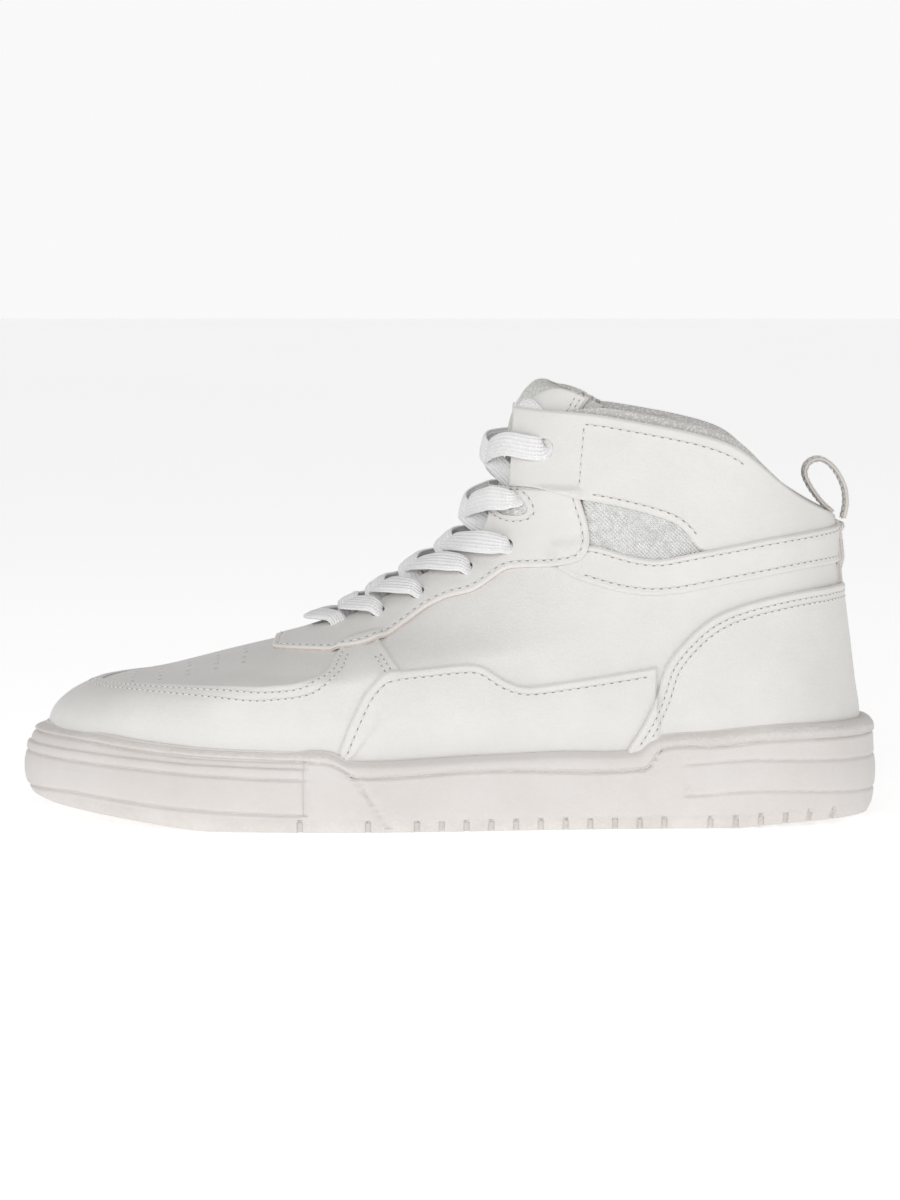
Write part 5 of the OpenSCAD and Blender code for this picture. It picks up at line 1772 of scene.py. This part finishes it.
# ---------------------------------------------------------------- pull loop
LOOP_ROUTE = [[141.2, 107.4], [142.2, 113], [141.2, 119.4], [137.6, 125.6], [133, 128.6],
              [128.8, 127.4], [127.2, 123.6], [129.4, 118.4], [133.6, 112.8], [137.2, 109.6]]
STRIP_W, STRIP_T = 11.0, 1.3
LOOP_RINGS, LOOP_SIDES = 90, 40
LOOP_FLAT_AT, LOOP_KEEP = (0.143, 0, 0.1073), 0.3


def make_loop():
    path = smooth_rows(LOOP_ROUTE, 12)
    s = lengths(path)
    path = resample(path, np.linspace(0, s[-1], LOOP_RINGS))
    way_on = unit(np.gradient(path, axis=0))
    side = np.stack([-way_on[:, 1], way_on[:, 0]], -1)
    turns = np.linspace(0, 2 * np.pi, LOOP_SIDES + 1)[:-1]
    u = np.sign(np.cos(turns)) * np.abs(np.cos(turns)) ** 0.35
    v = np.sign(np.sin(turns)) * np.abs(np.sin(turns)) ** 0.5
    y = STRIP_W / 2 * u
    t = STRIP_T / 2 * v
    rings = np.stack([path[:, None, 0] + side[:, None, 0] * t,
                      np.broadcast_to(y, (LOOP_RINGS, LOOP_SIDES)),
                      path[:, None, 1] + side[:, None, 1] * t], -1)
    piece = tube_mesh("pull_loop_webbing", rings, [STRIP, PALE_EDGE], body="loop")
    slots = np.zeros(len(piece.data.polygons), np.int32)
    edge = (np.abs(u) > 0.985)
    slots[:(LOOP_RINGS - 1) * LOOP_SIDES] = np.tile(edge | np.roll(edge, -1), LOOP_RINGS - 1)
    piece.data.polygons.foreach_set("material_index", slots)
    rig.slot(piece, "white_leather")
    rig.replaces(piece, "pull_loop")
    level = np.zeros(LOOP_RINGS)
    points = np.stack([path[:, 0], level, path[:, 1]], -1)
    out = np.stack([side[:, 0], level, side[:, 1]], -1)
    for y in (-STRIP_W / 2 + STRIP_SEAM, STRIP_W / 2 - STRIP_SEAM):
        for way in (1, -1):
            note_stitches("loop", 2.2, (points + [0, y, 0] + out * way * STRIP_T / 2, out * way))


def flatten_loop():
    """The loop and its stitching press flat as the loop folds, clear of the collar."""
    for name in ("pull_loop_webbing", "stitches_loop", "needle_holes_loop"):
        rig.squash(bpy.data.objects[name], "loop_fold", axis=(1, 0, 0), anchor=LOOP_FLAT_AT,
                  keep=LOOP_KEEP)


# ---------------------------------------------------------------- carried-over parts
def dress_frame():
    """Materials of the CAD parts that stay."""
    for node, mat in (("midsole", FOAM), ("insole_board", BOARD), ("heel_counter", STIFFENER),
                      ("toe_puff", STIFFENER), ("vamp_lining", LINER), ("aglets", AGLET)):
        obj = bpy.data.objects[node]
        if not obj.material_slots:
            obj.data.materials.append(mat)
        for slot in obj.material_slots:
            slot.material = mat


# ---------------------------------------------------------------- room, light and camera
TARGET = Vector((0, 0, 0.0776))
DISTANCE, ELEVATION = 1.8, math.radians(4.5)
FLOOR, FLOOR_Z = 8.0, -0.0004


def make_camera():
    data = bpy.data.cameras.new("camera")
    data.sensor_fit, data.sensor_width, data.lens = "HORIZONTAL", 36, 200
    camera = bpy.data.objects.new("camera", data)
    bpy.context.scene.collection.objects.link(camera)
    away = Vector((0, -math.cos(ELEVATION), math.sin(ELEVATION)))
    camera.location = TARGET + away * DISTANCE
    camera.rotation_euler = (-away).to_track_quat("-Z", "Y").to_euler()
    bpy.context.scene.camera = camera


def area_light(name, at, size, watts, colour=(1, 1, 1)):
    data = bpy.data.lights.new(name, "AREA")
    data.shape, data.size, data.energy, data.color = "DISK", size, watts, colour
    light = bpy.data.objects.new(name, data)
    bpy.context.scene.collection.objects.link(light)
    light.location = at
    light.rotation_euler = (TARGET - Vector(at)).to_track_quat("-Z", "Y").to_euler()


def make_room():
    mesh = bpy.data.meshes.new("floor")
    mesh.from_pydata([(-FLOOR, -FLOOR, FLOOR_Z), (FLOOR, -FLOOR, FLOOR_Z), (FLOOR, FLOOR, FLOOR_Z),
                      (-FLOOR, FLOOR, FLOOR_Z)], [], [(0, 1, 2, 3)])
    floor = bpy.data.objects.new("floor", mesh)
    bpy.context.scene.collection.objects.link(floor)
    n = Nodes("floor_paint", rough=0.8)
    n.colour(n.noise(0.7, 2), [(0.2, (246, 246, 246)), (0.8, (250, 250, 250))])
    n.shader.inputs["Emission Color"].default_value = (1, 1, 1, 1)
    n.shader.inputs["Emission Strength"].default_value = 0.47
    mesh.materials.append(n.mat)
    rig.stage(floor)


def make_light():
    """A white studio, brighter low down than overhead, with soft lights."""
    world = bpy.data.worlds.new("studio")
    world.use_nodes = True
    tree = world.node_tree
    back = tree.nodes["Background"]
    back.inputs["Color"].default_value = (1, 1, 1, 1)
    where = tree.nodes.new("ShaderNodeTexCoord")
    parts = tree.nodes.new("ShaderNodeSeparateXYZ")
    fade = tree.nodes.new("ShaderNodeMapRange")
    for name, value in (("From Min", 0.2), ("From Max", 0.75), ("To Min", 0.95), ("To Max", 0.26)):
        fade.inputs[name].default_value = value
    tree.links.new(where.outputs["Generated"], parts.inputs[0])
    tree.links.new(parts.outputs["Z"], fade.inputs["Value"])
    tree.links.new(fade.outputs[0], back.inputs["Strength"])
    bpy.context.scene.world = world
    area_light("key", (-0.1, -1.6, 0.62), 0.8, 7)
    area_light("top", (-0.5, 0.1, 1.5), 0.9, 2)
    bpy.context.scene.view_settings.view_transform = "Standard"


# ---------------------------------------------------------------- the shoe
make_camera()
make_room()
make_light()
dress_frame()
panels["vamp"] = make_vamp()
for side_name, which in SIDES.items():
    panels[f"quarter_{side_name}"] = make_quarter(side_name, which)
    panels[f"mesh_{side_name}"] = make_mesh_insert(side_name, which)
panels["guard"] = make_guard()
for side_name, which in SIDES.items():
    panels[f"overlay_{side_name}"] = make_side_overlay(side_name, which)
panels["eyestay"] = make_eyestay()
for side_name, which in SIDES.items():
    panels[f"collar_{side_name}"] = make_collar_panel(side_name, which)
    panels[f"band_{side_name}"] = make_band(side_name, which)
make_heel_strip()
make_heel_overlay()
make_sole()
make_collar()
make_lining()
make_sock_liner()
make_tongue()
make_tongue_tabs()
make_label()
make_lace()
make_loop()
for body_name in stitched:
    stitch_thread(body_name)
flatten_loop()

size_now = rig.bounds()
with open("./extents.json", "w") as out:
    json.dump({"cad": [list(map(float, v)) for v in (cad_low, cad_high)],
               "visual": [list(map(float, v)) for v in size_now]}, out)
